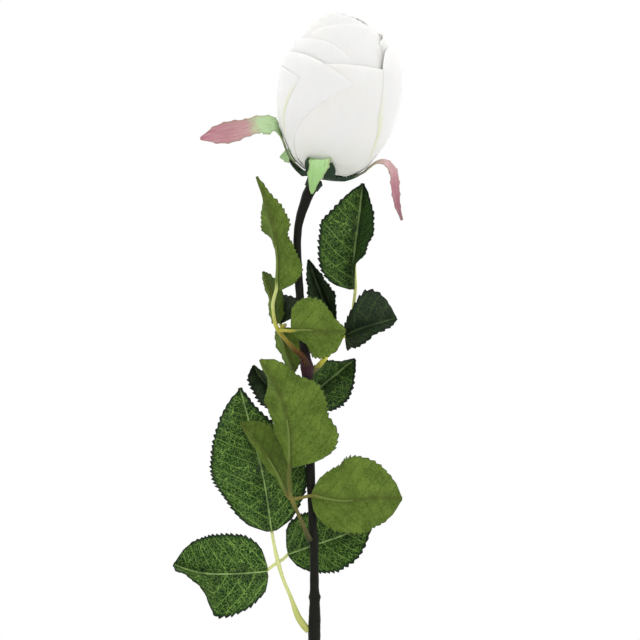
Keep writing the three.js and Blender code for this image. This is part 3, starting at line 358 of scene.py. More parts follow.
def sheet(name, cells, thick, materials, slot, **options):
    """A thin closed piece on rows of cells: point, outward hint, grain uv and rim uv.

    Three materials are for the face on the side of the hints, the other face and the edge.
    """
    rows, columns = len(cells), len(cells[0])
    grid = [[cell[0] for cell in line] for line in cells]
    middles, hints, grain, *rim = zip(*[cell for line in cells for cell in line])
    normals = grid_normals(grid, hints)
    count = rows * columns
    r, c = rows // 2, columns // 2
    probe = (grid[r][c] - grid[r - 1][c]).cross(grid[r][c] - grid[r][c - 1])
    turn = -1 if probe.dot(normals[r * columns + c]) < 0 else 1
    faces, which = [], []
    for r in range(rows - 1):
        for c in range(columns - 1):
            a, b = r * columns + c, r * columns + c + 1
            d, e = b + columns, a + columns
            faces += [(a, e, d, b), (count + a, count + b, count + d, count + e)]
            which += [0, 1]
    loop = list(range(columns - 1))
    loop += [r * columns + columns - 1 for r in range(rows - 1)]
    loop += [(rows - 1) * columns + c for c in range(columns - 1, 0, -1)]
    loop += [r * columns for r in range(rows - 1, 0, -1)]
    for p, q in zip(loop, loop[1:] + loop[:1]):
        faces.append((p, q, count + q, count + p))
        which.append(2)
    points = [p + n * thick / 2 for p, n in zip(middles, normals)]
    points += [p - n * thick / 2 for p, n in zip(middles, normals)]
    piece(name, points, [face[::turn] for face in faces], materials, slot,
          which=which if len(materials) > 1 else None, grain=grain * 2,
          rim=rim[0] * 2 if rim else None, **options)


def rings(count, sides):
    """Faces between rings of points that follow each other, and the two end faces."""
    faces = [(r * sides + k, r * sides + (k + 1) % sides, (r + 1) * sides + (k + 1) % sides,
              (r + 1) * sides + k) for r in range(count) for k in range(sides)]
    return faces + [tuple(range(sides - 1, -1, -1)),
                    tuple(range(count * sides, (count + 1) * sides))]


def tube(points, sides, steps, ripple=0, seed=0):
    """Points, faces and uvs of a round rod through (x, y, z, radius), closed at its ends."""
    vertices, uvs = [], []
    across = last = None
    length = 0
    for i in range(steps + 1):
        u = i / steps
        middle, along = point_on(points, u), tangent_on(points, u)
        radius = smooth([p[3] for p in points], u)
        start = across or Vector((1 if abs(along.x) < .7 else 0, 0, .3))
        across = (start - along * start.dot(along)).normalized()
        other = along.cross(across)
        length += (middle - last).length if last else 0
        last = middle
        for k in range(sides):
            angle = 2 * math.pi * k / sides
            x, y = math.cos(angle), math.sin(angle)
            rough = ripple * noise.noise(Vector((3 * x + seed, 3 * y, length * .22)))
            vertices.append(middle + (across * x + other * y) * radius * (1 + rough))
            uvs.append((length, k * 2 * math.pi * radius / sides))
    return vertices, rings(steps, sides), uvs


def joined(parts):
    """Several (points, faces, uvs) as one, and for each point its part's number."""
    points, faces, uvs, owners = [], [], [], []
    for number, (part_points, part_faces, part_uvs) in enumerate(parts):
        faces += [tuple(len(points) + i for i in face) for face in part_faces]
        points += part_points
        uvs += part_uvs
        owners += [number] * len(part_points)
    return points, faces, uvs, owners


# ---- materials
class Look:
    """A node material with short helpers, built round one Principled shader."""

    def __init__(self, name, specular, **constants):
        self.material = bpy.data.materials.new(name)
        self.material.use_nodes = True
        self.tree = self.material.node_tree
        self.shader = self.tree.nodes["Principled BSDF"]
        for socket, value in (("Specular_IOR_Level", specular), *constants.items()):
            self.shader.inputs[socket.replace("_", " ")].default_value = value

    def node(self, kind, **settings):
        made = self.tree.nodes.new("ShaderNode" + kind)
        for key, value in settings.items():
            setattr(made, key, value)
        return made

    def join(self, source, socket):
        if isinstance(source, (int, float, tuple)):
            socket.default_value = source
        else:
            self.tree.links.new(source, socket)

    def math(self, operation, a, b=0, c=0):
        made = self.node("Math", operation=operation)
        for source, socket in zip((a, b, c), made.inputs):
            self.join(source, socket)
        return made.outputs[0]

    def times(self, a, b):
        return self.math("MULTIPLY", a, b)

    def plus(self, a, b):
        return self.math("ADD", a, b)

    def minus(self, a, b):
        return self.math("SUBTRACT", a, b)

    def most(self, a, b):
        return self.math("MAXIMUM", a, b)

    def line(self, a, slope, start=0):
        return self.math("MULTIPLY_ADD", a, slope, start)

    def band(self, value, low, high):
        """0 below low and 1 above high, or the reverse where low is the larger."""
        made = self.node("MapRange", interpolation_type="SMOOTHSTEP")
        self.join(value, made.inputs[0])
        limits = (low, high, 0, 1) if low < high else (high, low, 1, 0)
        for socket, limit in zip(list(made.inputs)[1:5], limits):
            socket.default_value = limit
        return made.outputs[0]

    def mix(self, share, a, b):
        made = self.node("Mix", data_type="RGBA")
        self.join(share, made.inputs[0])
        for source, socket in ((a, made.inputs[6]), (b, made.inputs[7])):
            self.join((*source, 1) if isinstance(source, tuple) else source, socket)
        return made.outputs[2]

    def coats(self, colour, *coats):
        """A colour with coats of (where, how strong, colour) laid over it in turn."""
        for where, strength, coat in coats:
            share = where if strength == 1 else self.times(where, strength)
            colour = self.mix(share, colour, coat)
        return colour

    def ramp(self, value, stops):
        made = self.node("ValToRGB")
        elements = made.color_ramp.elements
        while len(elements) < len(stops):
            elements.new(.5)
        for element, (place, colour) in zip(elements, stops):
            element.position = place
            element.color = (*colour, 1)
        self.join(value, made.inputs[0])
        return made.outputs[0]

    def texture(self, kind, vector, **numbers):
        made = self.node(kind)
        self.join(vector, made.inputs["Vector"])
        for socket, number in numbers.items():
            made.inputs[socket].default_value = number
        return made

    def noise(self, vector, scale, detail=3, rough=.5):
        return self.texture("TexNoise", vector, Scale=scale, Detail=detail,
                            Roughness=rough).outputs[0]

    def cells(self, vector, scale, feature="DISTANCE_TO_EDGE"):
        made = self.texture("TexVoronoi", vector, Scale=scale)
        made.feature = feature
        return made.outputs["Distance"]

    def stretched(self, vector, factors):
        made = self.node("VectorMath", operation="MULTIPLY")
        self.join(vector, made.inputs[0])
        made.inputs[1].default_value = factors
        return made.outputs[0]

    def warped(self, vector, scale, reach):
        """The vector, shifted by a noise within its own plane."""
        made = self.node("VectorMath", operation="MULTIPLY_ADD")
        self.join(self.texture("TexNoise", vector, Scale=scale).outputs["Color"], made.inputs[0])
        made.inputs[1].default_value = (reach, reach, 0)
        self.join(vector, made.inputs[2])
        return made.outputs[0]

    def weave(self, vector, pitch):
        along, across, _ = self.split(vector)
        return self.times(self.math("SINE", self.times(along, pitch)),
                          self.math("SINE", self.times(across, pitch)))

    def place(self):
        """The point in the row's frame, in millimetres."""
        made = self.node("VectorMath", operation="SCALE")
        self.tree.links.new(self.node("TexCoord").outputs["Object"], made.inputs[0])
        made.inputs["Scale"].default_value = 1 / MM
        return made.outputs[0]

    def layer(self, name):
        return self.node("UVMap", uv_map=name).outputs[0]

    def split(self, vector):
        made = self.node("SeparateXYZ")
        self.join(vector, made.inputs[0])
        return made.outputs

    def done(self, colour, rough=None, height=None, depth=0, strength=1):
        """The material, with bumps of this height, depth in mm and strength."""
        self.join(colour, self.shader.inputs["Base Color"])
        if rough is not None:
            self.join(rough, self.shader.inputs["Roughness"])
        if height is not None:
            made = self.node("Bump")
            made.inputs["Strength"].default_value = strength
            made.inputs["Distance"].default_value = depth * MM
            self.join(height, made.inputs["Height"])
            self.join(made.outputs[0], self.shader.inputs["Normal"])
        return self.material


def vein_lines(look):
    """Distances in mm to a leaf's rib and to its side veins, from the grain layer."""
    along, across, _ = look.split(look.layer("grain"))
    across = look.math("ABSOLUTE", across)
    bent = look.line(across, VEIN_SLANT)
    wander = look.times(look.noise(look.layer("grain"), .12), 1.6)
    place = look.minus(look.minus(along, bent), look.times(look.times(across, across), VEIN_BEND))
    phase = look.math("DIVIDE", look.plus(place, wander), VEIN_PITCH)
    off = look.math("ABSOLUTE", look.minus(look.math("FRACT", phase), .5))
    return across, look.times(look.minus(.5, off), VEIN_PITCH)


def leaf_upper(name, strength, shaded, far_half=1):
    """Printed cloth: near-black green with a fine pale net, pale rib and side veins; painted
    shade beside the rib and painted sheen patches over the ground, and for leaves that lie in
    shade a dimmed net and a bluish painted shade.
    """
    look = Look(name, .12)
    grain = look.layer("grain")
    edge = look.split(look.layer("rim"))[0]
    rib, side = vein_lines(look)
    warp = look.warped(grain, .5, 2.2)
    patch = look.band(look.noise(grain, .22), .36, .64)
    net = look.times(look.band(look.cells(warp, .6), .046, .012), look.line(patch, .3, .7))
    fine = look.times(look.band(look.cells(warp, 1), .06, .015),
                      look.times(look.line(patch, .55, .45), .62))
    veins = look.most(look.band(rib, .45, .18), look.times(look.band(side, .3, .08), .7))
    lines = look.times(look.most(look.most(net, fine), veins), look.band(edge, .5, 2.2))
    # painted shade beside the rib, where the groove's shade falls: the net is dimmed and the
    # ground darkened in this band
    painted_rib_shade = look.times(look.band(rib, 6, 1), look.band(look.noise(grain, .12, 2), .4, .6))
    # painted shade: strength dims the whole net for leaves that lie in shade
    lines = look.times(lines, look.line(painted_rib_shade, -.45 * strength, strength))
    # painted shade: far_half dims the net on the right half only
    right_half = look.band(look.split(grain)[1], -1, 1)
    lines = look.times(lines, look.line(right_half, far_half - 1, 1))
    ground = look.coats(
        look.mix(look.noise(grain, .16, 5), (.002, .015, .001), (.007, .036, .003)),
        # painted shade: shaded lays a bluish shade over the ground of leaves that lie in shade
        (shaded, 1, (.01, .016, .01)), (painted_rib_shade, .7, (.004, .012, .006)),
        (look.band(edge, 1.2, .2), 1, (.008, .012, .008)),
        # painted sheen: soft patches of paler green laid over the ground
        (look.band(look.noise(grain, .05, 2), .52, .72), .18, (.05, .085, .045)))
    pale = look.coats(look.mix(look.noise(grain, .3), (.08, .22, .02), (.33, .5, .12)),
                      (look.band(rib, .5, .2), 1, (.26, .38, .13)))
    height = look.minus(look.noise(grain, 2.6, 4), look.times(lines, .6))
    return look.done(look.mix(lines, ground, pale), look.line(look.noise(grain, .7), .25, .5),
                     height, .16, .8)


def leaf_under():
    """The cloth's paler lower face: olive green, woven, with the net showing faintly and painted
    shade along the rib.
    """
    look = Look("leaf_under", .1)
    grain = look.layer("grain")
    rib, side = vein_lines(look)
    speck = look.band(look.noise(grain, 1.4), .45, .68)
    # painted shade along the rib, where the fold's shade falls
    painted_fold_shade = look.times(look.band(rib, 4.5, .5), look.band(look.noise(grain, .1, 2), .4, .6))
    patch = look.band(look.noise(grain, .11, 4), .35, .68)
    colour = look.coats(
        look.mix(patch, (.062, .102, .012), (.112, .17, .024)),
        (look.band(look.cells(grain, .6), .18, .04), .3, (.17, .26, .055)),
        (speck, .4, (.055, .095, .009)), (look.band(side, .7, .1), .35, (.045, .08, .01)),
        (look.band(rib, .9, .2), .5, (.05, .062, .012)), (painted_fold_shade, .45, (.055, .072, .012)),
        (look.band(look.split(look.layer("rim"))[0], .6, .1), 1, (.035, .055, .018)))
    ridges = look.plus(look.noise(grain, 1.2, 4), look.times(look.band(side, .9, .1), .9))
    height = look.plus(look.times(look.weave(grain, 13), .35), ridges)
    return look.done(colour, look.line(speck, .12, .8), height, .16, .9)


def leaf_edge():
    """The cut edge of the leaf cloth."""
    look = Look("leaf_edge", .1)
    speck = look.noise(look.place(), 1.3)
    return look.done(look.mix(speck, (.012, .02, .012), (.05, .075, .03)),
                     look.line(speck, .2, .7))


def petal_cloth(name, tinted, crease_shade=0):
    """Soft white cloth, faintly tinted, greener at its foot, with painted crease shade, darker
    and greener, along its lower side edges.
    """
    look = Look(name, .12, Sheen_Weight=.02, Sheen_Roughness=.6, Subsurface_Weight=.36,
                Subsurface_Scale=.003, Subsurface_Radius=(1, 1, .95))
    place, grain = look.place(), look.layer("grain")
    along = look.split(grain)[0]
    side = look.band(look.split(look.layer("rim"))[0], 3, .2)
    streak = look.noise(look.stretched(grain, (.05, .9, 1)), 1, 4)
    colour = look.coats(
        look.mix(look.band(look.noise(place, .06), .42, .68), (.767, .767, .754), tinted),
        (look.band(along, 20, 3), .6, (.61, .637, .541)),
        # painted crease shade: darker and greener along the lower side edges
        (look.times(side, look.band(along, 46, 26)), crease_shade, (.645, .689, .366)),
        (streak, .08, (.715, .715, .689)))
    height = look.plus(look.times(look.weave(grain, 16), .16), look.noise(place, .35, 4))
    return look.done(colour, look.line(look.noise(place, .6, 2), .12, .82),
                     look.plus(height, look.times(streak, .8)), .3, .5)


RIB_GREEN = (.105, .155, .028)       # the moulded rib, painted as the leaf it carries


def moulded(name, colours):
    """A leaf stalk's moulded plastic, its colour changing with height, faintly mottled."""
    look = Look(name, .15)
    place = look.place()
    low, high = colours[0][0], colours[-1][0]
    share = look.math("DIVIDE", look.minus(look.split(place)[2], low), high - low)
    share = look.plus(share, look.line(look.noise(place, .5), .16, -.08))
    stops = [((z - low) / (high - low), colour) for z, colour in colours]
    flecks = look.band(look.noise(place, 2.2), .5, .75)
    colour = look.coats(look.ramp(share, stops), (flecks, .25, (.22, .2, .06)),
                        (look.split(look.layer("rim"))[0], 1, RIB_GREEN))
    ridges = look.noise(look.stretched(look.layer("grain"), (.15, 2.4, 1)), 1)
    return look.done(colour, look.line(ridges, .25, .35), ridges, .12, .8)


def stem_plastic():
    """Near-black plastic over wire, with fine lengthwise ridges and a brownish swelling."""
    look = Look("stem_plastic", .08)
    place = look.place()
    height = look.split(place)[2]
    ridges = look.noise(look.stretched(look.layer("grain"), (.07, 1.5, 1)), 1, 4)
    swelling = look.times(look.band(height, 296, 301), look.band(height, 311, 305))
    dust = look.band(look.noise(place, .3, 5), .55, .8)
    colour = look.coats(look.mix(ridges, (.004, .004, .003), (.011, .011, .008)),
                        (swelling, .85, (.035, .012, .018)), (dust, .3, (.035, .034, .03)))
    return look.done(colour, look.line(ridges, .3, .35), ridges, .25, .9)


def sepal_cloth(name, colours):
    """A sepal: green cloth that turns to its tip's colour, with fine veins along it."""
    look = Look(name, .12)
    grain = look.layer("grain")
    share, across, _ = look.split(look.layer("rim"))
    veins = look.noise(look.stretched(grain, (.16, 1.3, 1)), 1, 4)
    blur = look.line(look.noise(grain, .35), .12, -.06)
    colour = look.coats(
        look.ramp(look.plus(share, blur), colours),
        (look.band(veins, .5, .72), .3, (.55, .5, .44)),
        (look.band(veins, .46, .3), .3, (.16, .12, .08)),
        (look.band(across, .8, .96), .45, (.24, .22, .13)))
    return look.done(colour, look.line(veins, .2, .66), veins, .3, .8)


def calyx_cloth():
    """The cup's dark green outside, lighter where its lobes thin out."""
    look = Look("calyx_cloth", .1)
    place = look.place()
    patch = look.noise(place, .28, 4)
    colour = look.coats(look.mix(patch, (.01, .024, .015), (.035, .062, .036)),
                        (look.band(look.split(place)[2], 390, 398), .4, (.1, .15, .075)))
    return look.done(colour, look.line(patch, .25, .6), look.noise(place, 1.1, 4), .3, .8)


def vase_glaze():
    """Warm white glaze with a faint blue-grey break in rings and a few iron specks."""
    look = Look("vase_glaze", .5, Coat_Weight=.35, Coat_Roughness=.06)
    place = look.place()
    drift = look.noise(place, .022, 4)
    turning = look.noise(look.stretched(place, (.02, .02, .3)), 1)
    specks = look.times(look.band(look.cells(place, .17, "F1"), .085, .05),
                        look.band(look.noise(place, .09, 2), .47, .56))
    colour = look.coats(
        look.mix(drift, (.68, .665, .62), (.79, .785, .76)),
        (look.band(turning, .45, .7), .16, (.55, .58, .57)),
        (look.band(look.split(place)[2], 158, 161.5), .55, (.6, .5, .38)),
        (specks, .6, (.22, .15, .1)))
    height = look.plus(look.times(turning, 1), look.noise(place, .12))
    return look.done(colour, look.line(drift, .1, .1), height, .35, .5)


def bare_clay():
    """The vase's unglazed foot."""
    look = Look("bare_clay", .2)
    grit = look.noise(look.place(), .8, 5, .65)
    return look.done(look.mix(grit, (.5, .42, .33), (.66, .58, .47)),
                     look.line(grit, .15, .8), grit, .25, .8)


def floor_paint():
    look = Look("floor_paint", .2, Roughness=.75)
    return look.done(look.mix(look.noise(look.place(), .004, 2), (.83,) * 3, (.86,) * 3))


# ---- leaves
ACROSS = [.03, .1, .2, .32, .44, .56, .68, .79, .88, .95, 1]
TOOTH_SHAPE = [(0, -1), (.3, -.25), (.6, .5), (.84, 1)]
TEETH_FROM = .86            # share of a half's width where its teeth start
QUILT = .34                 # how far the cloth between two veins swells
RUFFLES = [(2.3, .5), (5.1, .28)]      # waves along a leaf's edge: how many, how high
RIB_SHARES = 6


def leaf_half(widths, u):
    """A leaf half's width: a smooth curve, rounded off at the base and at the tip."""
    ends = min(u / BASE_ROUND, 1) ** .5 * min((1 - u) / TIP_ROUND, 1) ** .8
    return max(smooth(widths, u) * ends, 1)


def leaf_point(leaf, u, v, edge=0, lift=0):
    """A point of the leaf, the way its front face looks there, and its half width."""
    along = tangent_on(leaf["rib"], u)
    side = along.cross(Vector(leaf.get("facing", FRONT))).normalized()
    normal = side.cross(along).normalized()
    sign = -1 if v < 0 else 1
    turn = math.radians(smooth(leaf["tilt_l" if v < 0 else "tilt_r"], u))
    half = leaf_half(leaf["left" if v < 0 else "right"], u)
    out = side * (sign * math.cos(turn)) + normal * math.sin(turn)
    looks = side * (-sign * math.sin(turn)) + normal * math.cos(turn)
    point = point_on(leaf["rib"], u) + out * abs(v) * (half + edge * abs(v)) + looks * lift
    return point, looks, half


def leaf_normal(leaf, u):
    left, right = leaf_point(leaf, u, -1e-3)[1], leaf_point(leaf, u, 1e-3)[1]
    return (left + right).normalized()


def leaf_rows(rng, teeth):
    """Shares of the length where a row lies, with how far its edge stands out or in."""
    rows = []
    for k in range(teeth):
        size, shift = rng.uniform(.6, 1.3), rng.uniform(-.12, .12)
        rows += [((k + place + (shift if place else 0)) / teeth, rise * size)
                 for place, rise in TOOTH_SHAPE]
    return rows + [(1, 0)]


def build_leaf(name, leaf, upper, under, edge):
    """One leaflet: a thin quilted sheet with saw teeth, its edges slightly ruffled."""
    rng = random.Random(name)
    length = length_of(leaf["rib"])
    rows = leaf_rows(rng, max(round(length * 1.12 / TOOTH_PITCH), 8))
    to_upper = 1 if leaf["upper"] else -1
    phase = [rng.uniform(0, 6.28) for _ in range(4)]
    cells = []
    for place, rise in rows:
        u = .006 + .988 * place
        along = u * length
        depth = min(TOOTH, .09 * length) * min(1, 6 * u * (1 - u))
        cells.append([])
        for v in [-a for a in reversed(ACROSS)] + [0] + ACROSS:
            tooth = rise * depth / 2 * smooth_step(TEETH_FROM, 1, abs(v))
            half = leaf_point(leaf, u, v)[2]
            across = abs(v) * half
            veins = (along - VEIN_SLANT * across - VEIN_BEND * across ** 2) / VEIN_PITCH
            off_vein = abs((veins % 1) - .5) * 2
            quilt = QUILT * (1 - off_vein ** 3) * smooth_step(.04, .3, abs(v))
            quilt *= smooth_step(1.02, .7, abs(v)) * min(1, half / 9)
            quilt -= GROOVE * math.exp(-(across / 2.2) ** 2) * min(1, 8 * u, 5 * (1 - u))
            ruffle = sum(math.sin(2 * math.pi * many * u + start) * high
                         for (many, high), start in zip(RUFFLES, phase[0 if v < 0 else 2:]))
            ruffle *= abs(v) ** 3 * min(1, half / 10) * min(1, 5 * (1 - u))
            point, looks, _ = leaf_point(leaf, u, v, tooth, to_upper * quilt + ruffle)
            cells[-1].append((point, looks if v else leaf_normal(leaf, u), (along, v * half),
                              (half * (1 - abs(v)) + .02, 0)))
    faces = (upper, under, edge) if leaf["upper"] else (under, upper, edge)
    sheet(name, cells, LEAF_THICK, faces, "leaf_fabric")


def midrib_under(leaf):
    away = -1 if leaf["upper"] else 1
    points = []
    for i in range(RIB_SHARES):
        u = .03 + MIDRIB_REACH * i / (RIB_SHARES - 1)
        radius = MIDRIB * (1 - MIDRIB_TAPER * i)
        lift = away * (GAP + radius + MIDRIB_LIFT)
        points.append((*(point_on(leaf["rib"], u) + leaf_normal(leaf, u) * lift), radius))
    return points


def build_stalk(name, colours, runs):
    parts, starts = [], []
    for leaf_name, way in runs.items():
        under = midrib_under(LEAVES[leaf_name])
        points = way + under
        starts.append((Vector(under[0][:3]), LEAVES[leaf_name]["upper"]))
        parts.append(tube(points, 14, 5 * (len(points) - 1), ripple=.07, seed=len(parts)))
    points, faces, uvs, owners = joined(parts)
    shares = []
    for point, owner in zip(points, owners):
        start, is_upper = starts[owner]
        way = parts[owner][0][-1] - start
        reach = (point - start).dot(way) / way.length
        near = (point - start).length < way.length * 1.2
        shares.append((0 if is_upper or not near else clamp(reach / 4, 0, 1), 0))
    piece(name, points, faces, [moulded(name + "_plastic", colours)], "stalk_plastic",
          grain=uvs, rim=shares)


def build_stem():
    points, faces, uvs = tube(STEM, 20, 300, ripple=.09)
    piece("stem", points, faces, [stem_plastic()], "stem_plastic", grain=uvs)


# ---- bloom
BUD_UP = Vector((math.sin(BUD_TILT), 0, math.cos(BUD_TILT)))
BUD_RIGHT = Vector((math.cos(BUD_TILT), 0, -math.sin(BUD_TILT)))
LEAN_FROM, LEAN_OVER = 42, 32          # where the bud starts to lean, and over what height
PETAL_FOOT = 1.6
PER_DEGREE = .45                       # mm of a petal's width for each degree
LIP_FROM = .93                         # share of a petal's height where its lip starts to roll
HEART_FOOT, HEART_TOP, HEART_TURNS, HEART_RADIUS = 62, 73.9, 3.4, 7.8
CORE_FOOT, CORE_HEIGHT, CORE_INSET = .9, 67.5, 1.7


def bud_point(direction, height, radius):
    a = math.radians(direction)
    lean = clamp((height - LEAN_FROM) / LEAN_OVER, 0, 1) ** 2 * BUD_SIDEWAYS
    point = BUD_BASE + BUD_UP * height + BUD_RIGHT * (lean + radius * math.sin(a))
    point.y -= radius * math.cos(a)
    return point


def bud_cell(direction, height, radius):
    """A point round the bud and the way out there."""
    point = bud_point(direction, height, radius)
    return point, (point - bud_point(direction, height, 0)).normalized()


def petal_cells(index, petal, rows=44, columns=52):
    """One petal's cells: it hugs the bud, its edges stand off a little, its lip rolls."""
    at, span, low, grow, full, rim, drop, fall, slope, profile, out, flare, roll = petal
    cells = []
    for i in range(rows + 1):
        cells.append([])
        for j in range(columns + 1):
            v = math.sin(.5 * math.pi * (-1 + 2 * j / columns))
            wave = .7 * noise.noise(Vector((v * 1.9, index * 7.3, .5)))
            top = rim - drop * abs(v) ** fall + slope * v + wave
            u = 1 - (1 - i / rows) ** 1.25
            height = PETAL_FOOT + (top - PETAL_FOOT) * u
            wide = span * (low + (1 - low) * min(u / full, 1) ** grow)
            direction = at + v * wide
            radius = radius_at(profile, height) + out * min(height / 22, 1)
            radius += flare * u ** 6 * (1 - v ** 4) - .3 * abs(v) ** 8
            swell = noise.noise(Vector((direction * .022, height * .035, 3.1)))
            own = noise.noise(Vector((direction * .04, height * .06, index * 5.7)))
            radius += (.45 * swell + .1 * own) * min(height / 20, 1)
            over = roll * clamp((u - LIP_FROM) / (1 - LIP_FROM), 0, 1) ** 2
            point, outward = bud_cell(direction, height - .35 * over, radius + over)
            cells[-1].append((point, outward + BUD_UP * .15, (height, v * span * PER_DEGREE),
                              ((1 - abs(v)) * wide * PER_DEGREE, u)))
    return cells


def build_petals():
    cloths = [petal_cloth("petal_cloth", (.776, .767, .724)),
              petal_cloth("petal_cloth_cool", (.776, .776, .776))]
    # the two outer petals carry painted crease shade along their lower side edges
    outer_cloth = petal_cloth("petal_cloth_outer", (.776, .776, .767), crease_shade=.6)
    for index, petal in enumerate(PETALS):
        cloth = outer_cloth if index >= len(PETALS) - 2 else cloths[index % 2]
        sheet(f"petal_{index + 1}", petal_cells(index, petal), PETAL_THICK, [cloth],
              "petal_fabric", node="bloom", sharp=70)
    build_heart(cloths[0])
    build_core(cloths[1])


def build_heart(cloth, rows=10, columns=190):
    """The rolled cloth at the bud's heart, seen from above between the inner petals."""
    cells = []
    for i in range(rows + 1):
        cells.append([])
        for j in range(columns + 1):
            share = j / columns
            direction = 360 * HEART_TURNS * share - 40
            radius = 1 + HEART_RADIUS * share - .4 * (i / rows) ** 2
            top = HEART_TOP - .035 * radius ** 2 + .3 * math.sin(9 * share)
            height = HEART_FOOT + (top - HEART_FOOT) * i / rows
            cells[-1].append((*bud_cell(direction, height, radius), (height, direction * .08)))
    sheet("petal_heart", cells, PETAL_THICK, [cloth], "petal_fabric", node="bloom", sharp=70)


def build_core(cloth, sides=64, steps=60):
    """The closed body inside the petals, which stops just under the heart."""
    points, uvs = [], []
    for i in range(steps + 1):
        height = CORE_FOOT + CORE_HEIGHT * i / steps
        for k in range(sides):
            direction = 360 * k / sides
            points.append(bud_point(direction, height, radius_at("core", height) - CORE_INSET))
            uvs.append((height, direction * .4))
    piece("bud_core", points, rings(steps, sides), [cloth], "petal_fabric", grain=uvs,
          node="bloom")


# ---- calyx
NICK, KEEL = .55, .25       # how far a sepal's nicks and its rib stand out


def over_skin(direction, height, off, step=.4):
    rise = radius_at("skin", height + step) - radius_at("skin", height - step)
    long = math.hypot(rise, 2 * step)
    radius = radius_at("skin", height) + off * 2 * step / long
    return bud_point(direction, height - off * rise / long, max(radius, 1))


def cup_off(height):
    """How far the cup's inside stands off the petals."""
    return GAP + .33 + .035 * height


def apart(direction, at):
    return abs(((direction - at + 540) % 360) - 180)


def lobe_height(direction):
    return max(CUP_RIM + rise * max(1 - (apart(direction, at) / half) ** 1.5, 0)
               for at, rise, half in LOBES)


def build_cup(rows=16, sides=180):
    inner, outer = [], []
    for i in range(rows + 1):
        share = i / rows
        for k in range(sides):
            direction = 360 * k / sides
            ragged = .5 * noise.noise(Vector((k * .35, 4, 0)))
            height = .5 + (lobe_height(direction) + ragged - .5) * share
            bend = max(1 - (apart(direction, FLAP[0]) / FLAP[1]) ** 2, 0)
            off = cup_off(height) + FLAP[2] * bend * share ** 2
            inner.append(over_skin(direction, height, off))
            thick = CALYX_THICK * (1 - .6 * share ** 2)
            outer.append(over_skin(direction, height, off + thick))
    half = len(inner)
    points = inner + outer
    *walls, foot, rim = rings(rows, sides)
    faces = []
    for a, b, c, d in walls:
        faces += [(d, c, b, a), (half + b, half + c, half + d, half + a)]
    for a, b in zip(rim, rim[1:] + rim[:1]):
        faces.append((half + a, half + b, b, a))
    faces += [foot[::-1], tuple(half + i for i in foot)]
    points, faces, uvs, _ = joined([(points, faces, [(p.x, p.z) for p in points]),
                                    tube(HUB, 28, 12)])
    piece("calyx_cup", points, faces, [calyx_cloth()], "calyx_fabric", grain=uvs, node="calyx")


def build_sepal(name, at, root, halves, free, looks, colours, rows=70, columns=12):
    rib = [over_skin(at, h, cup_off(min(h, 6)) + .3 - .02 * max(h - 6, 0)) for h in root]
    rib += [Vector(p) for p in free]
    length = length_of(rib)
    phase = random.Random(name).uniform(0, 6.28)
    cells = []
    for i in range(rows + 1):
        u = i / rows
        middle, along = point_on(rib, u), tangent_on(rib, u)
        wide = along.cross(point_on(looks, u)).normalized()
        normal = wide.cross(along).normalized()
        half = max(smooth(halves, u), .35)
        nick = NICK * max(math.sin(length * u * 1.5 + phase), 0) ** 2
        nick *= smooth_step(.4, .5, u) * min(half / 2, 1)
        curl = half * half / (2 * (radius_at("skin", 8) + 4)) + .1 * half * u
        cells.append([])
        for j in range(columns + 1):
            v = -1 + 2 * j / columns
            keel = -KEEL * math.exp(-(v * half / .5) ** 2)
            wave = .35 * math.sin(u * 21 + phase + v) * abs(v) ** 2 * u * (1 - u) * 2
            reach = v * (half + nick * abs(v))
            cells[-1].append((middle + wide * reach + normal * (wave - curl * v * v - keel),
                              normal, (u * length, reach), (u, abs(v))))
    sheet(name, cells, SEPAL_THICK, [sepal_cloth(name + "_cloth", colours)], "calyx_fabric",
          node="calyx")


# ---- vase
def vase_profile():
    """(radius, height) from the foot's edge, over the lip, to the floor."""
    outside = [(radius, height) for height, radius in curve(VASE, 110)]
    profile = [(VASE_FOOT - 4, 0), (VASE_FOOT - 1, 0), (VASE_FOOT - .2, .35)] + outside
    profile += [(VASE_LIP - inward, VASE_HEIGHT - down) for inward, down in
                ((.1, .55), (.4, .15), (.9, 0), (1.5, .15), (2.2, .6))]
    profile += [(r - VASE_WALL, z) for r, z in reversed(outside[1:-1]) if z > VASE_FLOOR + 4]
    inside = VASE_FOOT - VASE_WALL
    return profile + [(inside, VASE_FLOOR + 1.5), (inside - 3, VASE_FLOOR)]


def build_vase():
    turned = vase_profile()
    points = [Vector((0, 0, 0))]
    for r, z in turned:
        for k in range(VASE_SIDES):
            a = 2 * math.pi * k / VASE_SIDES
            points.append(Vector((r * math.cos(a), r * math.sin(a), z)))
    points.append(Vector((0, 0, VASE_FLOOR)))
    last = len(turned) - 1
    faces, which = [], []
    for k in range(VASE_SIDES):
        a, b = 1 + k, 1 + (k + 1) % VASE_SIDES
        faces.append((0, b, a))
        for i in range(last):
            up, over = i * VASE_SIDES, (i + 1) * VASE_SIDES
            faces.append((up + a, up + b, over + b, over + a))
        faces.append((last * VASE_SIDES + a, last * VASE_SIDES + b, len(points) - 1))
        which += [1] * 4 + [0] * (last - 2)       # the foot and its edge are bare clay
    piece("vase_body", points, faces, [vase_glaze(), bare_clay()], "vase_glaze", back=0,
          which=which, grain=[(p.x, p.z) for p in points], node="vase", sharp=60)


# ---- stage
def build_floor(sides=96, radius=1.5):
    mesh = bpy.data.meshes.new("floor")
    angles = [2 * math.pi * k / sides for k in range(sides)]
    mesh.from_pydata([(radius * math.cos(a), radius * math.sin(a), 0) for a in angles], [],
                     [tuple(range(sides))])
    mesh.materials.append(floor_paint())
    placed("floor", mesh)


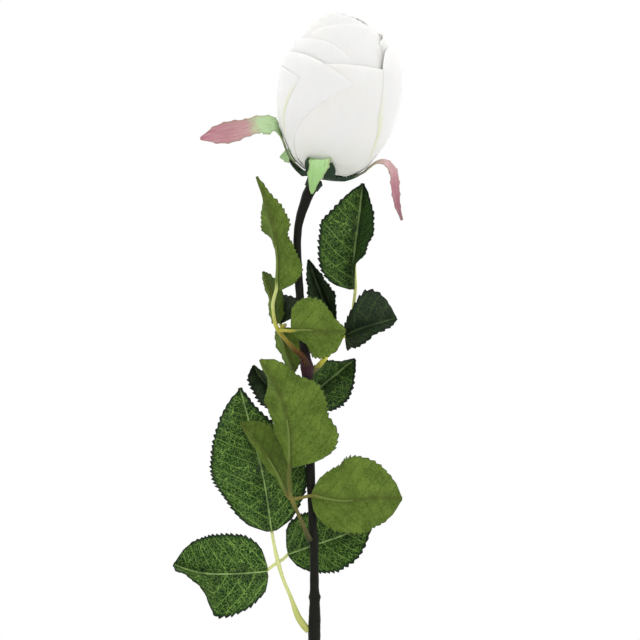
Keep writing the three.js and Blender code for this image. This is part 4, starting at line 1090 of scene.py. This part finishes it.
def build_lights():
    """A white studio, which lights the rose a little more than it shows, and two lamps."""
    world = bpy.data.worlds.new("studio")
    bpy.context.scene.world = world
    world.use_nodes = True
    nodes, links = world.node_tree.nodes, world.node_tree.links
    seen, lit = nodes["Background"], nodes.new("ShaderNodeBackground")
    for source, colour, strength in ((seen, (1, 1, 1, 1), 1), (lit, (1, .995, .985, 1), 1.37)):
        source.inputs["Color"].default_value = colour
        source.inputs["Strength"].default_value = strength
    share = nodes.new("ShaderNodeMixShader")
    links.new(nodes.new("ShaderNodeLightPath").outputs["Is Camera Ray"], share.inputs[0])
    links.new(lit.outputs[0], share.inputs[1])
    links.new(seen.outputs[0], share.inputs[2])
    links.new(share.outputs[0], nodes["World Output"].inputs["Surface"])
    area_light("key", (-.75, -1.15, 1.25))
    area_light("fill", (1.1, -1.1, .55))


def area_light(name, location, size=.9, power=.8, target=(0, 0, .33)):
    light = bpy.data.lights.new(name, "AREA")
    light.shape = "DISK"
    light.size = size
    light.energy = power
    obj = placed(name, light)
    obj.location = location
    aim = Vector(target) - Vector(location)
    obj.rotation_mode = "QUATERNION"
    obj.rotation_quaternion = aim.to_track_quat("-Z", "Y")


def build_camera():
    """The photograph's view: square on, at the rose's middle, from two metres away."""
    data = bpy.data.cameras.new("camera")
    data.sensor_width = 36
    data.lens = 250
    data.clip_start, data.clip_end = .1, 20
    camera = placed("camera", data)
    camera.location = (.00315, -2 + ROSE_BACK * MM, .324)
    camera.rotation_euler = (math.pi / 2, 0, 0)
    bpy.context.scene.camera = camera


# ---- build
build_camera()
build_lights()
build_floor()
bpy.context.scene.view_settings.view_transform = "Standard"
build_vase()
build_stem()
for stalk_name, stalk in STALKS.items():
    build_stalk(stalk_name, *stalk)
# Copies of the upper face with painted shade, for leaves that lie in shade: one with the net
# nearly gone and the ground painted a bluish shade, one with painted shade on the net's right
# half, and one with painted shade over part of its net and ground.
bright, dark = leaf_upper("leaf_upper", 1, 0), leaf_upper("leaf_upper_shaded", .16, .9)
special = {name: dark for name in SHADED_LEAVES}
special["leaf_back_end"] = leaf_upper("leaf_upper_half_shaded", .9, .2, .3)
special["leaf_rear_right"] = leaf_upper("leaf_upper_part_shaded", .6, .3)
below, cut = leaf_under(), leaf_edge()
for leaf_name, shape in LEAVES.items():
    build_leaf(leaf_name, shape, special.get(leaf_name, bright), below, cut)
build_petals()
build_cup()
for sepal_name, sepal in SEPALS.items():
    build_sepal(sepal_name, *sepal)
